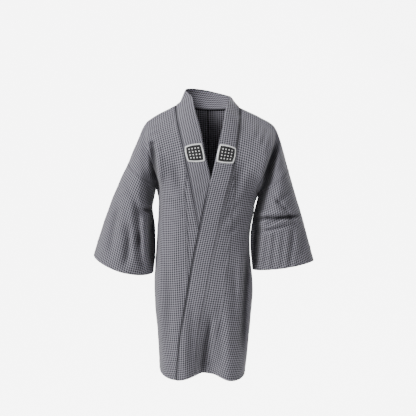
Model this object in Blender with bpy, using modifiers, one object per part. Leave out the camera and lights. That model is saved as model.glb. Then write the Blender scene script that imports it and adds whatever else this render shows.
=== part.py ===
# A long festival kimono coat in fine checked cotton, as it hangs when worn: two body panels, two
# front extension strips, one collar band, two wide open sleeves and two applied squares.
# Metres, +Z up, the wearer faces -Y. The origin is where the coat rests on the shoulders,
# in the middle of the neck. "left" and "right" are the wearer's own.
import math

import bmesh
import bpy
import numpy as np

# Cloth and seams
CLOTH = 0.0016           # thickness of the body, sleeve and extension walls
COLLAR_CLOTH = 0.0026    # the collar is folded double
PATCH_CLOTH = 0.0014
SEAM = 0.0004            # gap between two pieces at a seam
ARMHOLE_SEAM = 0.0005
NECK_SEAM = 0.0013       # more of it where the collar turns up round the neck
LAP_DROP = 0.0062        # how far the right front lies below the left front that laps over it
LAP_EASE = 0.080         # the right front sinks over this width before the lap
LAP_EDGE = 0.004         # and is all the way down this far before it

# Driving sizes
HEM_Z = -0.920           # hem below the shoulder
ARMPIT_Z = -0.292
NECK_HALF = 0.1125       # half the width between the collar seams at the shoulder
NECK_SHIFT = -0.0145     # the neck sits a little to the wearer's right
NECK_BACK = 0.068        # depth of the back neckline behind the shoulder line
NECK_TOP_Z = -0.004      # the neckline at the shoulder, and at the middle of the back
NECK_BACK_Z = -0.013
COLLAR_CROWN = 0.004     # how far the collar's middle stands out from its two edges
PATCH_SIDE = 0.061
PATCH_Z = -0.164
PATCH_LIFT = 0.0006      # gap between the collar and a patch
ARM_STEP = 0.94          # step of the shoulder's last column before the armhole
ARM_REACH = 0.012        # and how far above the armhole it lies
SHIFT_STEP = 0.55        # step of the shoulder out to which the neck's shift is felt
SLEEVE_LENGTH = 0.325    # along the arm, from the armhole to the cuff
CROWN = 2.3              # exponent of the rounded-square body sections

# Mesh density
SHOULDER_ROWS = 12
SKIRT_ROWS = 20
NECK_COLUMNS = 6
SLEEVE_ROWS = 12
COLLAR_COLUMNS = 5
EXTENSION_COLUMNS = 3
EXTENSION_FIRST_ROW = 8  # row of the shoulder where the extension strip begins
LAP_ROW = 10             # row of the shoulder where the two fronts cross
PATCH_GRID = 6
CHEST_ROWS = 4           # rows of the collar over which it leaves the chest above the lap

# Shares of the way down from the ridge to the armpit at which the shoulder's sections lie
UPPER = 0.34
LOWER = 0.67
UPPER_Z = -0.108         # and their heights at the front edge
LOWER_Z = -0.204
BACK_UPPER_Z = -0.105
BACK_LOWER_Z = -0.200
SEAT_SHARE = 0.17        # share of that way over which the front edge settles onto the chest

FRONT_STEPS = (0, 0.1, 0.2, 0.3, 0.4, 0.5, 0.58, 0.64, 0.68, 0.72, 0.76, 0.81, 0.87, 0.94, 1)

# Level sections of the body: centre, half width, depth to the front and to the back
FORM = (
    # z,      centre, half,  front,  back
    (0.010, -0.014, 0.150, 0.000, 0.055),
    (-0.010, -0.013, 0.152, 0.014, 0.066),
    (-0.050, -0.010, 0.160, 0.062, 0.086),
    (-0.100, -0.008, 0.166, 0.097, 0.101),
    (-0.150, -0.006, 0.170, 0.113, 0.111),
    (-0.200, -0.005, 0.171, 0.121, 0.118),
    (-0.292, -0.004, 0.170, 0.124, 0.121),
    (-0.360, -0.007, 0.164, 0.118, 0.112),
    (-0.440, -0.013, 0.160, 0.112, 0.104),
    (-0.530, -0.011, 0.165, 0.112, 0.111),
    (-0.620, -0.006, 0.171, 0.116, 0.121),
    (-0.700, -0.004, 0.168, 0.118, 0.122),
    (-0.780, -0.001, 0.161, 0.117, 0.116),
    (-0.860, 0.001, 0.155, 0.112, 0.110),
    (-0.940, 0.001, 0.150, 0.108, 0.105),
)

# The hollow that the cloth falls into between the thighs
HOLLOW_X = 0.016
HOLLOW_HALF = 0.080
HOLLOW = (
    # z,      depth
    (-0.600, 0.000),
    (-0.680, 0.004),
    (-0.740, 0.018),
    (-0.800, 0.038),
    (-0.870, 0.056),
    (-0.940, 0.064),
)

# Height of the hem round the body, by the angle from the front
HEM = (
    # degrees, z
    (-180, -0.932),
    (-90, -0.926),
    (-38, -0.942),
    (6, -0.923),
    (44, -0.938),
    (90, -0.926),
    (180, -0.932),
)

# The two fronts: x of the collar's free edge and of its seam at each height. The left one laps over.
LEFT_FRONT = (
    # z,     free edge, seam
    (-0.004, 0.0580, 0.0980),
    (-0.058, 0.0410, 0.0960),
    (-0.108, 0.0320, 0.0920),
    (-0.160, 0.0220, 0.0865),
    (-0.207, 0.0125, 0.0797),
    (-0.249, 0.0053, 0.0715),
    (-0.284, -0.0020, 0.0640),
    (-0.346, -0.0142, 0.0512),
    (-0.430, -0.0285, 0.0365),
    (-0.512, -0.0430, 0.0215),
    (-0.633, -0.0590, 0.0045),
    (-0.700, -0.0682, -0.0058),
    (-0.789, -0.0790, -0.0165),
    (-0.860, -0.0835, -0.0205),
    (-0.940, -0.0860, -0.0230),
)
RIGHT_FRONT = (
    (-0.004, -0.0640, -0.1270),
    (-0.058, -0.0460, -0.1165),
    (-0.108, -0.0310, -0.1025),
    (-0.160, -0.0165, -0.0880),
    (-0.207, -0.0045, -0.0767),
    (-0.249, 0.0053, -0.0663),
    (-0.284, 0.0135, -0.0590),
    (-0.346, 0.0265, -0.0460),
    (-0.430, 0.0420, -0.0280),
    (-0.512, 0.0540, -0.0135),
    (-0.633, 0.0690, 0.0020),
    (-0.700, 0.0760, 0.0095),
    (-0.789, 0.0845, 0.0190),
    (-0.860, 0.0880, 0.0235),
    (-0.940, 0.0900, 0.0260),
)

# Width of the extension strip between the collar and the body panel
EXTENSION = (
    # z,     width
    (-0.173, 0.0000),
    (-0.196, 0.0014),
    (-0.220, 0.0034),
    (-0.249, 0.0095),
    (-0.284, 0.0200),
    (-0.346, 0.0275),
    (-0.430, 0.0400),
    (-0.512, 0.0508),
    (-0.633, 0.0583),
    (-0.700, 0.0597),
    (-0.789, 0.0562),
    (-0.860, 0.0500),
    (-0.940, 0.0360),
)

# The collar's free edge above the lap, from the lap up to the middle of the back
LEFT_NECK = (
    # share, x,     y,      z
    (0.00, 0.0053, -0.1225, -0.249),
    (0.22, 0.0190, -0.1165, -0.178),
    (0.42, 0.0340, -0.0930, -0.086),
    (0.60, 0.0490, -0.0480, -0.006),
    (0.72, 0.0600, 0.0000, 0.031),
    (0.82, 0.0620, 0.0420, 0.038),
    (0.90, 0.0380, 0.0760, 0.046),
    (1.00, -0.0140, 0.0900, 0.057),
)
RIGHT_NECK = (
    (0.00, 0.0053, -0.1165, -0.249),
    (0.22, -0.0130, -0.1165, -0.178),
    (0.42, -0.0350, -0.0930, -0.086),
    (0.60, -0.0620, -0.0420, -0.001),
    (0.72, -0.0730, -0.0050, 0.032),
    (0.82, -0.0985, 0.0380, 0.055),
    (0.90, -0.0660, 0.0740, 0.062),
    (1.00, -0.0140, 0.0900, 0.057),
)

# The front of the shoulder, seen on the left side. step runs out from the collar seam to the sleeve,
# and upper and lower are the sections named above.
FRONT_SHOULDER = (
    # step, ridge x, ridge z, upper x, y, z,         lower x, y, z
    (0.30, 0.158, -0.026, 0.152, -0.075, -0.106, 0.141, -0.105, -0.200),
    (0.55, 0.203, -0.050, 0.197, -0.072, -0.126, 0.173, -0.099, -0.216),
    (0.64, 0.218, -0.061, 0.212, -0.063, -0.136, 0.184, -0.085, -0.226),
    (0.72, 0.231, -0.081, 0.211, -0.043, -0.151, 0.175, -0.052, -0.238),
    (0.81, 0.244, -0.112, 0.229, -0.053, -0.168, 0.186, -0.066, -0.248),
)
BACK_SHOULDER = (
    # step, upper x, y, z,        lower x, y, z
    (0.00, 0.100, 0.086, -0.105, 0.098, 0.103, -0.200),
    (0.30, 0.152, 0.081, -0.110, 0.144, 0.100, -0.203),
    (0.55, 0.199, 0.074, -0.128, 0.180, 0.092, -0.218),
    (0.72, 0.222, 0.058, -0.152, 0.187, 0.070, -0.236),
    (0.85, 0.245, 0.061, -0.182, 0.195, 0.073, -0.254),
)
# Share of the way from the front or back edge to the side seam that each step has below the armpit
SIDE_SHARE = (
    # step, share
    (0.00, 0.00),
    (0.30, 0.32),
    (0.55, 0.60),
    (0.72, 0.77),
    (0.85, 0.88),
    (1.00, 1.00),
)

# Sleeve sections from the armhole to the cuff: the fold over the arm (outer) and the seam under it
# (inner), then the depth to the front and the back and how far the front edge hangs lower
LEFT_SLEEVE = (
    # share, outer x, z,    inner x, z,     front,  back, droop
    (0.00, 0.272, -0.212, 0.173, -0.292, 0.085, 0.082, 0.000),
    (0.25, 0.298, -0.288, 0.162, -0.352, 0.086, 0.080, 0.000),
    (0.50, 0.325, -0.365, 0.152, -0.424, 0.084, 0.078, 0.000),
    (0.75, 0.350, -0.442, 0.154, -0.493, 0.080, 0.076, 0.000),
    (1.00, 0.375, -0.520, 0.164, -0.561, 0.077, 0.072, 0.002),
)
RIGHT_SLEEVE = (
    (0.00, 0.283, -0.210, 0.182, -0.292, 0.085, 0.082, 0.000),
    (0.25, 0.316, -0.286, 0.188, -0.358, 0.088, 0.080, 0.004),
    (0.50, 0.346, -0.368, 0.181, -0.432, 0.088, 0.079, 0.008),
    (0.75, 0.371, -0.449, 0.1785, -0.508, 0.084, 0.077, 0.014),
    (1.00, 0.394, -0.529, 0.184, -0.582, 0.080, 0.074, 0.022),
)
SLEEVE_ROUND = 1.8       # below 2 the section comes to a soft edge at the fold and at the seam

# Creases pressed into the sleeves. Angles start at the fold over the arm and go round the front.
LEFT_CREASES = (
    # share along, angle, reach along, reach round, depth
    (0.53, 105, 0.045, 70, 0.010),
    (0.63, 150, 0.110, 16, 0.006),
    (0.80, 62, 0.230, 12, 0.004),
    (0.45, 250, 0.060, 50, 0.007),
    (0.75, 300, 0.250, 14, 0.005),
)
RIGHT_CREASES = (
    (0.36, 128, 0.060, 34, 0.012),
    (0.50, 158, 0.150, 22, 0.009),
    (0.72, 98, 0.300, 13, 0.006),
    (0.42, 240, 0.060, 46, 0.007),
    (0.70, 285, 0.260, 14, 0.005),
)

GREY = (0.215, 0.212, 0.240)
BLACK = (0.012, 0.012, 0.013)
SIDES = {
    "left": dict(sign=1, spread=0.985, front=LEFT_FRONT, neck=LEFT_NECK, sleeve=LEFT_SLEEVE,
                 creases=LEFT_CREASES),
    "right": dict(sign=-1, spread=1.01, front=RIGHT_FRONT, neck=RIGHT_NECK, sleeve=RIGHT_SLEEVE,
                  creases=RIGHT_CREASES),
}


def smooth(share):
    """Ease from 0 to 1."""
    share = min(1.0, max(0.0, share))
    return share * share * (3 - 2 * share)


def read(table, at):
    """The columns of a table at a value of its first column, on a smooth curve through its rows."""
    rows = np.array(table, float)
    if rows[0, 0] > rows[-1, 0]:
        rows = rows[::-1]
    knots = rows[:, 0]
    values = rows[:, 1:]
    at = min(max(at, knots[0]), knots[-1])
    gaps = np.diff(knots)
    slopes = np.diff(values, axis=0) / gaps[:, None]
    tangents = np.zeros_like(values)
    tangents[0] = slopes[0]
    tangents[-1] = slopes[-1]
    for k in range(1, len(knots) - 1):
        tangents[k] = (gaps[k] * slopes[k - 1] + gaps[k - 1] * slopes[k]) / (gaps[k - 1] + gaps[k])
    k = min(int(np.searchsorted(knots, at, side="right")) - 1, len(knots) - 2)
    width = gaps[k]
    t = (at - knots[k]) / width
    return ((2 * t**3 - 3 * t**2 + 1) * values[k] + (t**3 - 2 * t**2 + t) * width * tangents[k]
            + (3 * t**2 - 2 * t**3) * values[k + 1] + (t**3 - t**2) * width * tangents[k + 1])


def ring(degrees, z):
    """A point of the worn body's outer face: 0 is the middle of the front, 90 the left side."""
    centre, half, front, back = read(FORM, z)
    angle = math.radians(degrees)
    across = math.copysign(abs(math.sin(angle)) ** (2 / CROWN), math.sin(angle))
    along = math.copysign(abs(math.cos(angle)) ** (2 / CROWN), math.cos(angle))
    x = centre + half * across
    y = -front * along if along > 0 else -back * along
    if along > 0:
        y += hollow(x, z)
    return np.array([x, y, z])


def hollow(x, z):
    """How far the front is pressed in between the thighs."""
    share = abs(x - HOLLOW_X) / HOLLOW_HALF
    if share >= 1 or z > HOLLOW[0][0]:
        return 0.0
    return read(HOLLOW, z)[0] * math.cos(math.pi / 2 * share) ** 2


def angle_at(x, z):
    """The angle of the front's point at that x."""
    centre, half = read(FORM, z)[:2]
    share = min(0.999, max(-0.999, (x - centre) / half))
    return math.degrees(math.asin(math.copysign(abs(share) ** (CROWN / 2), share)))


def front_at(x, z, drop=0.0):
    """The front's point at x and z, dropped inwards along the face's normal."""
    point = ring(angle_at(x, z), z)
    if drop == 0:
        return point
    step = 0.002
    across = ring(angle_at(x + step, z), z) - ring(angle_at(x - step, z), z)
    down = ring(angle_at(x, z - step), z - step) - ring(angle_at(x, z + step), z + step)
    normal = np.cross(down, across)
    return point - normal / np.linalg.norm(normal) * drop


def hem_z(degrees):
    return float(read(HEM, degrees)[0])


def lap_drop(side, x, z):
    """The right front sinks under the left one near and behind its free edge."""
    if side == "left":
        return 0.0
    free = read(LEFT_FRONT, z)[0]
    return LAP_DROP * smooth((x - free + LAP_EASE) / (LAP_EASE - LAP_EDGE))


def edge_x(side, column, z):
    """x of a front's free edge (0), collar seam (1) or body seam (2)."""
    free, seam = read(SIDES[side]["front"], z)
    width = max(0.0, read(EXTENSION, z)[0])
    return float((free, seam, seam + SIDES[side]["sign"] * width)[column])


def armhole(side, degrees):
    """A point of the armhole: 0 at the fold over the arm, 90 in front, 180 at the armpit."""
    return sleeve_point(side, 0.0, degrees, creased=False)


def sleeve_point(side, share, degrees, creased=True):
    """A point of the sleeve's outer face."""
    row = read(SIDES[side]["sleeve"], share)
    outer = np.array([row[0], 0.0, row[1]])
    inner = np.array([row[2], 0.0, row[3]])
    angle = math.radians(degrees)
    swing = math.copysign(abs(math.cos(angle)) ** (2 / sleeve_round(share)), math.cos(angle))
    out = math.copysign(abs(math.sin(angle)) ** (2 / sleeve_round(share)), math.sin(angle))
    point = (outer + inner) / 2 + (outer - inner) / 2 * swing
    point[1] = -(row[4] if out > 0 else row[5]) * out
    point[2] -= row[6] * out
    if creased:
        point = point + sleeve_crease(side, share, degrees, point, (outer + inner) / 2)
    point[0] *= SIDES[side]["sign"]
    return point


def sleeve_round(share):
    return 2.0 + (SLEEVE_ROUND - 2.0) * share


def sleeve_crease(side, share, degrees, point, centre):
    """Soft troughs that pull the face towards the sleeve's middle."""
    depth = 0.0
    for along, angle, reach_along, reach_round, deep in SIDES[side]["creases"]:
        off = math.hypot((share - along) / reach_along, (degrees - angle) / reach_round)
        depth += deep * (1 - smooth(off))
    inward = centre - point
    return inward / max(np.linalg.norm(inward), 1e-6) * depth


def side_angle(step):
    return float(read(SIDE_SHARE, step)[0])


def skirt_point(side, start, step, share):
    """Below the armpit: from the angle where the piece starts round to the side seam."""
    sign = SIDES[side]["sign"]

    def at(z):
        from_angle = start(z)
        return from_angle + (90 * sign - from_angle) * side_angle(step)

    z = ARMPIT_Z + (HEM_Z - ARMPIT_Z) * share
    degrees = at(z)
    z = ARMPIT_Z + (hem_z(degrees) - ARMPIT_Z) * share
    degrees = at(z)
    point = ring(degrees, z)
    if abs(degrees) < 90:
        point = front_at(point[0], z, lap_drop(side, point[0], z))
    return point


def front_start(side):
    """The angle of the body panel's front edge at a height."""
    gap = SEAM / 2 * SIDES[side]["sign"]
    return lambda z: angle_at(edge_x(side, 2, z) + gap, z)


def back_start(side):
    return lambda z: 180.0 * SIDES[side]["sign"]


def ridge(side, step):
    """The top of the shoulder, from the collar seam to the fold over the sleeve."""
    sign = SIDES[side]["sign"]
    top = armhole(side, 0)
    rows = [(0.0, sign * NECK_HALF + NECK_SHIFT, 0.0, NECK_TOP_Z)]
    for row in FRONT_SHOULDER:
        rows.append((row[0], *leaned(side, row[0], 0.0, row[1], 0.0, row[2])))
    rows.append((1.0, top[0], top[1], top[2]))
    return read(rows, step)


def shoulder_grid(side, steps, stations, start, loop_sign):
    """Rows from the ridge down to the armpit, across from the neck to the armhole."""
    grid = [[ridge(side, step) for step in steps]]
    for row in range(1, SHOULDER_ROWS + 1):
        share = row / SHOULDER_ROWS
        across = []
        for step, upper, lower in stations:
            low = skirt_point(side, start, step, 0.0)
            below = skirt_point(side, start, step, 0.1)
            across.append((step, *down_to_waist(share, ridge(side, step), upper, lower, low, below)))
        turn = loop_sign * 180 * share
        across.append((1.0, *armhole(side, turn)))
        across.insert(-1, (ARM_STEP, *arm_top(side, turn, read(across, ARM_STEP))))
        grid.append([read(across, step) for step in steps])
    return grid


def down_to_waist(share, top, upper, lower, low, below):
    """A point on the curve from the top of the shoulder to the armpit line and on."""
    return read([(0.0, *top), (UPPER, *upper), (LOWER, *lower), (1.0, *low), (1.2, *below)], share)


def arm_top(side, degrees, point):
    """Just above the armhole the panel runs straight on into the sleeve, but not at the armpit."""
    edge = armhole(side, degrees)
    along = edge - sleeve_point(side, 0.05, degrees, creased=False)
    straight = edge + along / np.linalg.norm(along) * ARM_REACH
    return point + (straight - point) * (1 - smooth((abs(degrees) - 112) / 56))


def leaned(side, step, level, x, y, z):
    """A shoulder table's point, put on its side, with the neck's shift fading out.

    spread is how far the arm stands off on that side, against the table."""
    lean = NECK_SHIFT * (1 - level) * max(0.0, 1 - step / SHIFT_STEP)
    spread = 1 + (SIDES[side]["spread"] - 1) * min(1.0, step / SHIFT_STEP)
    return np.array([SIDES[side]["sign"] * x * spread + lean, y, z])


def front_stations(side):
    """The front edge on the body's own form, then the table's stations."""
    stations = [(0.0, front_at(edge_x(side, 2, UPPER_Z), UPPER_Z),
                 front_at(edge_x(side, 2, LOWER_Z), LOWER_Z))]
    for row in FRONT_SHOULDER:
        stations.append((row[0], leaned(side, row[0], UPPER, *row[3:6]),
                         leaned(side, row[0], LOWER, *row[6:9])))
    return stations


def back_stations(side):
    return [(row[0], leaned(side, row[0], UPPER, *row[1:4]), leaned(side, row[0], LOWER, *row[4:7]))
            for row in BACK_SHOULDER]


def neckline(side, share):
    """The back neckline, from the middle of the back (0) to the shoulder (1)."""
    sign = SIDES[side]["sign"]
    turn = share * math.pi / 2
    return np.array([sign * NECK_HALF * math.sin(turn) + NECK_SHIFT, NECK_BACK * math.cos(turn),
                     NECK_BACK_Z + (NECK_TOP_Z - NECK_BACK_Z) * share])


def front_grid(side):
    """The front of a body panel, from the ridge to the hem."""
    start = front_start(side)
    grid = shoulder_grid(side, FRONT_STEPS, front_stations(side), start, 1)
    for row in range(1, SKIRT_ROWS + 1):
        grid.append([skirt_point(side, start, step, row / SKIRT_ROWS) for step in FRONT_STEPS])
    edge = (2, SEAM / 2)
    for row in range(1, SHOULDER_ROWS + SKIRT_ROWS + 1):
        grid[row][0] = front_row(side, row, 0, edge, edge)
    return grid


def front_row(side, row, part, inner, outer):
    """A point of one of the front's rows, counted from the ridge down to the hem.

    part runs from one of the front's edges (inner) to another (outer), each a column and its gap."""
    top = ridge(side, 0.0)
    share = min(1.0, row / SHOULDER_ROWS)
    z = top[2] + (ARMPIT_Z - top[2]) * share
    below = max(0.0, (row - SHOULDER_ROWS) / SKIRT_ROWS)
    for _ in range(3):
        ends = [edge_x(side, column, z) + gap * SIDES[side]["sign"] for column, gap in (inner, outer)]
        x = ends[0] + (ends[1] - ends[0]) * part
        if below > 0:
            z = ARMPIT_Z + (hem_z(angle_at(x, z)) - ARMPIT_Z) * below
    point = front_at(x, z, lap_drop(side, x, z))
    seat = top - front_at(edge_x(side, 2, top[2]), top[2])
    return point + seat * (1 - smooth(share / SEAT_SHARE))


def back_grid(side):
    """The back of a body panel, from the neckline and the ridge to the hem."""
    sign = SIDES[side]["sign"]
    start = back_start(side)
    corner = angle_of_back(side)
    outer = shoulder_grid(side, FRONT_STEPS, back_stations(side), lambda z: corner, -1)
    grid = []
    for row in range(SHOULDER_ROWS + 1):
        share = row / SHOULDER_ROWS
        inner = []
        for column in range(NECK_COLUMNS):
            part = column / NECK_COLUMNS
            degrees = start(0) + (corner - start(0)) * part
            upper = leaned(side, 0, UPPER, *back_spot(BACK_SHOULDER[0][1] * part, BACK_UPPER_Z))
            lower = leaned(side, 0, LOWER, *back_spot(BACK_SHOULDER[0][4] * part, BACK_LOWER_Z))
            inner.append(down_to_waist(share, neckline(side, part), upper, lower,
                                       ring(degrees, ARMPIT_Z), ring(degrees, ARMPIT_Z - 0.06)))
        grid.append(inner + outer[row])
    for row in range(1, SKIRT_ROWS + 1):
        share = row / SKIRT_ROWS
        inner = []
        for column in range(NECK_COLUMNS):
            degrees = start(0) + (corner - start(0)) * column / NECK_COLUMNS
            inner.append(ring(degrees, ARMPIT_Z + (hem_z(degrees) - ARMPIT_Z) * share))
        grid.append(inner + [skirt_point(side, lambda z: corner, step, share) for step in FRONT_STEPS])
    for row in grid:
        row[0] = row[0] + np.array([sign * SEAM / 2, 0, 0])
    return grid


def back_spot(x, z):
    """A point of the upper back's form, for a side still to be chosen."""
    half, back = read(FORM, z)[[1, 3]]
    return x, back * (1 - (x / half) ** CROWN) ** (1 / CROWN), z


def angle_of_back(side):
    """Where the neck columns end on the armpit line, a little nearer the middle than above it."""
    across = BACK_SHOULDER[0][4] - 0.004
    return SIDES[side]["sign"] * (180 - angle_at(across + read(FORM, ARMPIT_Z)[0], ARMPIT_Z))


def extension_grid(side):
    """The strip between the body panel and the collar, widening down to the hem."""
    return [[front_row(side, row, c / EXTENSION_COLUMNS, (1, SEAM / 2), (2, -SEAM))
             for c in range(EXTENSION_COLUMNS + 1)]
            for row in range(EXTENSION_FIRST_ROW, SHOULDER_ROWS + SKIRT_ROWS + 1)]


def collar_half(side):
    """Half the collar band, from the hem up to the middle of the back."""
    seam_side = (1, -SEAM / 2)
    lower = [[front_row(side, row, c / COLLAR_COLUMNS, seam_side, (0, 0))
              for c in range(COLLAR_COLUMNS + 1)]
             for row in range(SHOULDER_ROWS + SKIRT_ROWS, LAP_ROW - 1, -1)]
    seam = [front_row(side, row, 0, (1, -SEAM / 2 - (NECK_SEAM - SEAM) / row), seam_side)
            for row in range(LAP_ROW, 0, -1)]
    for row in range(NECK_COLUMNS + 1):
        share = row / NECK_COLUMNS
        seam.append(neckline(side, 1 - share) + neck_gap(side, share))
    table = SIDES[side]["neck"]
    free = lengthwise([read(table, k / 60) for k in range(61)], len(seam))
    upper = []
    for row, (start, end) in enumerate(zip(seam, free)):
        share = row / (len(seam) - 1)
        end = end + (lower[-1][-1] - free[0]) * (1 - smooth(share * len(seam) / CHEST_ROWS))
        upper.append([start + (end - start) * c / COLLAR_COLUMNS for c in range(COLLAR_COLUMNS + 1)])
    upper = crowned(upper, side)
    for row in range(CHEST_ROWS):
        share = smooth(row / CHEST_ROWS)
        chest = [front_row(side, LAP_ROW - row, c / COLLAR_COLUMNS, seam_side, (0, 0))
                 for c in range(COLLAR_COLUMNS + 1)]
        upper[row] = [a + (b - a) * share for a, b in zip(chest, upper[row])]
    return lower[:-1] + upper


def lengthwise(points, count):
    """The same curve with points at the given number of even steps."""
    points = np.array(points)
    run = np.concatenate([[0], np.cumsum(np.linalg.norm(np.diff(points, axis=0), axis=1))])
    at = np.linspace(0, run[-1], count)
    return [np.array([np.interp(s, run, points[:, k]) for k in range(3)]) for s in at]


def neck_gap(side, share):
    """The seam's gap, turned from the chest's level to upright behind the neck."""
    sign = SIDES[side]["sign"]
    turn = min(1.0, share * 3) * math.pi / 2
    return NECK_SEAM * np.array([-sign * math.cos(turn), 0, math.sin(turn)])


def crowned(rows, side):
    """Rounds the collar across its width, outwards."""
    sign = SIDES[side]["sign"]
    result = []
    for index, row in enumerate(rows):
        before = rows[max(index - 1, 0)]
        after = rows[min(index + 1, len(rows) - 1)]
        along = after[2] - before[2]
        normal = np.cross(along, row[-1] - row[0]) * sign
        normal = normal / np.linalg.norm(normal)
        line = []
        for column, point in enumerate(row):
            part = column / COLLAR_COLUMNS
            line.append(point + normal * COLLAR_CROWN * 4 * part * (1 - part))
        result.append(line)
    return result


def grid_faces(rows):
    """Quads between neighbouring rows of equal length, as index lists, with their points."""
    width = len(rows[0])
    points = [point for row in rows for point in row]
    faces = [(r * width + c, r * width + c + 1, (r + 1) * width + c + 1, (r + 1) * width + c)
             for r in range(len(rows) - 1) for c in range(width - 1)]
    return points, faces


def cloth_object(name, grids, thickness, colour, outside):
    """Joins grids into one sheet whose faces point outwards, and gives it its thickness inwards.

    outside is a point and a direction: the face nearest the point faces that way."""
    sheet = bmesh.new()
    for rows in grids:
        points, faces = grid_faces(rows)
        corners = [sheet.verts.new(point) for point in points]
        for face in faces:
            sheet.faces.new([corners[k] for k in face])
    bmesh.ops.remove_doubles(sheet, verts=sheet.verts, dist=0.00001)
    bmesh.ops.recalc_face_normals(sheet, faces=sheet.faces)
    spot, direction = (np.array(v, float) for v in outside)
    nearest = min(sheet.faces, key=lambda f: np.linalg.norm(np.array(f.calc_center_median()) - spot))
    nearest.normal_update()
    if np.dot(np.array(nearest.normal), direction) < 0:
        bmesh.ops.reverse_faces(sheet, faces=sheet.faces)
    mesh = bpy.data.meshes.new(name)
    sheet.to_mesh(mesh)
    sheet.free()
    mesh.shade_smooth()
    piece = bpy.data.objects.new(name, mesh)
    wall = piece.modifiers.new("wall", "SOLIDIFY")
    wall.thickness = thickness
    wall.offset = -1
    mesh.materials.append(cotton(name, colour))
    coat.objects.link(piece)
    return piece


def cotton(name, colour):
    material = bpy.data.materials.new(name + "_cotton")
    material.use_nodes = True
    shader = material.node_tree.nodes["Principled BSDF"]
    shader.inputs["Base Color"].default_value = (*colour, 1)
    shader.inputs["Roughness"].default_value = 0.85
    shader.inputs["Metallic"].default_value = 0.0
    return material


def body_panel(side):
    sign = SIDES[side]["sign"]
    cloth_object("body_" + side, [front_grid(side), back_grid(side)], CLOTH, GREY,
                 ((sign * 0.12, -0.12, -0.5), (0, -1, 0)))


def sleeve(side):
    """A tube from just past the armhole to the cuff."""
    sign = SIDES[side]["sign"]
    start = ARMHOLE_SEAM / SLEEVE_LENGTH
    count = 2 * SHOULDER_ROWS
    rows = []
    for row in range(SLEEVE_ROWS + 1):
        share = start + (1 - start) * row / SLEEVE_ROWS
        rows.append([sleeve_point(side, share, 360 * (k % count) / count) for k in range(count + 1)])
    cloth_object("sleeve_" + side, [rows], CLOTH, GREY, ((sign * 0.3, -0.1, -0.4), (0, -1, 0)))


def collar():
    left = collar_half("left")
    right = collar_half("right")
    band = left + right[::-1][1:]
    cloth_object("collar", [band], COLLAR_CLOTH, GREY, ((0.04, -0.12, -0.45), (0, -1, 0)))


def collar_patch(side):
    """A square of cloth on the collar, made from the collar's own points, moved out."""
    first = SHOULDER_ROWS + SKIRT_ROWS - LAP_ROW
    band = collar_half(side)[first:first + LAP_ROW]
    middle = [(row[0] + row[-1]) / 2 for row in band]
    run = np.concatenate([[0], np.cumsum([np.linalg.norm(b - a) for a, b in zip(middle, middle[1:])])])
    at = np.interp(PATCH_Z, [p[2] for p in middle], run)
    rows = []
    for r in range(PATCH_GRID + 1):
        along = at + PATCH_SIDE * (r / PATCH_GRID - 0.5)
        across = [np.array([np.interp(along, run, [row[c][k] for row in band]) for k in range(3)])
                  for c in range(COLLAR_COLUMNS + 1)]
        width = np.linalg.norm(across[-1] - across[0])
        line = []
        for c in range(PATCH_GRID + 1):
            part = 0.5 + PATCH_SIDE / width * (c / PATCH_GRID - 0.5)
            place = part * COLLAR_COLUMNS
            line.append(np.array([np.interp(place, range(COLLAR_COLUMNS + 1), [p[k] for p in across])
                                  for k in range(3)]))
        rows.append(line)
    normal = np.cross(rows[-1][0] - rows[0][0], rows[0][-1] - rows[0][0]) * SIDES[side]["sign"]
    normal = normal / np.linalg.norm(normal)
    rows = [[point + normal * (PATCH_LIFT + PATCH_CLOTH) for point in line] for line in rows]
    centre = rows[PATCH_GRID // 2][PATCH_GRID // 2]
    cloth_object("collar_patch_" + side, [rows], PATCH_CLOTH, BLACK, (centre, (0, -1, 0)))


for leftover in list(bpy.data.objects):
    bpy.data.objects.remove(leftover)
coat = bpy.data.collections.new("kimono_coat")
bpy.context.scene.collection.children.link(coat)
for side_name in SIDES:
    body_panel(side_name)
    cloth_object("front_extension_" + side_name, [extension_grid(side_name)], CLOTH, GREY,
                 ((0.05, -0.12, -0.5), (0, -1, 0)))
    sleeve(side_name)
    collar_patch(side_name)
collar()
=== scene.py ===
# %% [markdown]
# This lesson dresses a long festival kimono coat in Blender. The real coat is sewn from narrow strips of
# fine checked cotton: two body panels that run over the shoulders, two strips that widen the fronts, one
# long collar band, two wide sleeves and two applied squares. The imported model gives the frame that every
# piece has to fit, so it is loaded first and its box is kept to compare with at the end.

# %% Load the frame
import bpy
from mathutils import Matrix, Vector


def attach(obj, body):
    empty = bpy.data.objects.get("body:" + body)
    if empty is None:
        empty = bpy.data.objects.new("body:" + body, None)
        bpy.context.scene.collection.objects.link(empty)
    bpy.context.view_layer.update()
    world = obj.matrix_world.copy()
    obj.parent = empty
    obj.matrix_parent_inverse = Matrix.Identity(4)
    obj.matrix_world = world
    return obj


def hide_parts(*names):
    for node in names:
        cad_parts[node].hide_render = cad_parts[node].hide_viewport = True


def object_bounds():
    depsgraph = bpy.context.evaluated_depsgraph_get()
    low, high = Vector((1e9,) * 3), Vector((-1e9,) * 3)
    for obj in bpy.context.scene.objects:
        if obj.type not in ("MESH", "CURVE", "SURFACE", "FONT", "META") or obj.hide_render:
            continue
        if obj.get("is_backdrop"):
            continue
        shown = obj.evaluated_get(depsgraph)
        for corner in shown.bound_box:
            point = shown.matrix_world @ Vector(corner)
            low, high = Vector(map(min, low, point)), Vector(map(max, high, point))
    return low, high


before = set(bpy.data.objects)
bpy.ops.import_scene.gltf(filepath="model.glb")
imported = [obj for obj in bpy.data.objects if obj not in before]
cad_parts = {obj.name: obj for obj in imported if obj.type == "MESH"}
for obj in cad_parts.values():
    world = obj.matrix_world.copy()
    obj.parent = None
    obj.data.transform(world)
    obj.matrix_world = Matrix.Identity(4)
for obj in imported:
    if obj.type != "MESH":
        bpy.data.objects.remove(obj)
cad_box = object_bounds()
print("CAD box:", [round(v, 3) for corner in cad_box for v in corner])

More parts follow.
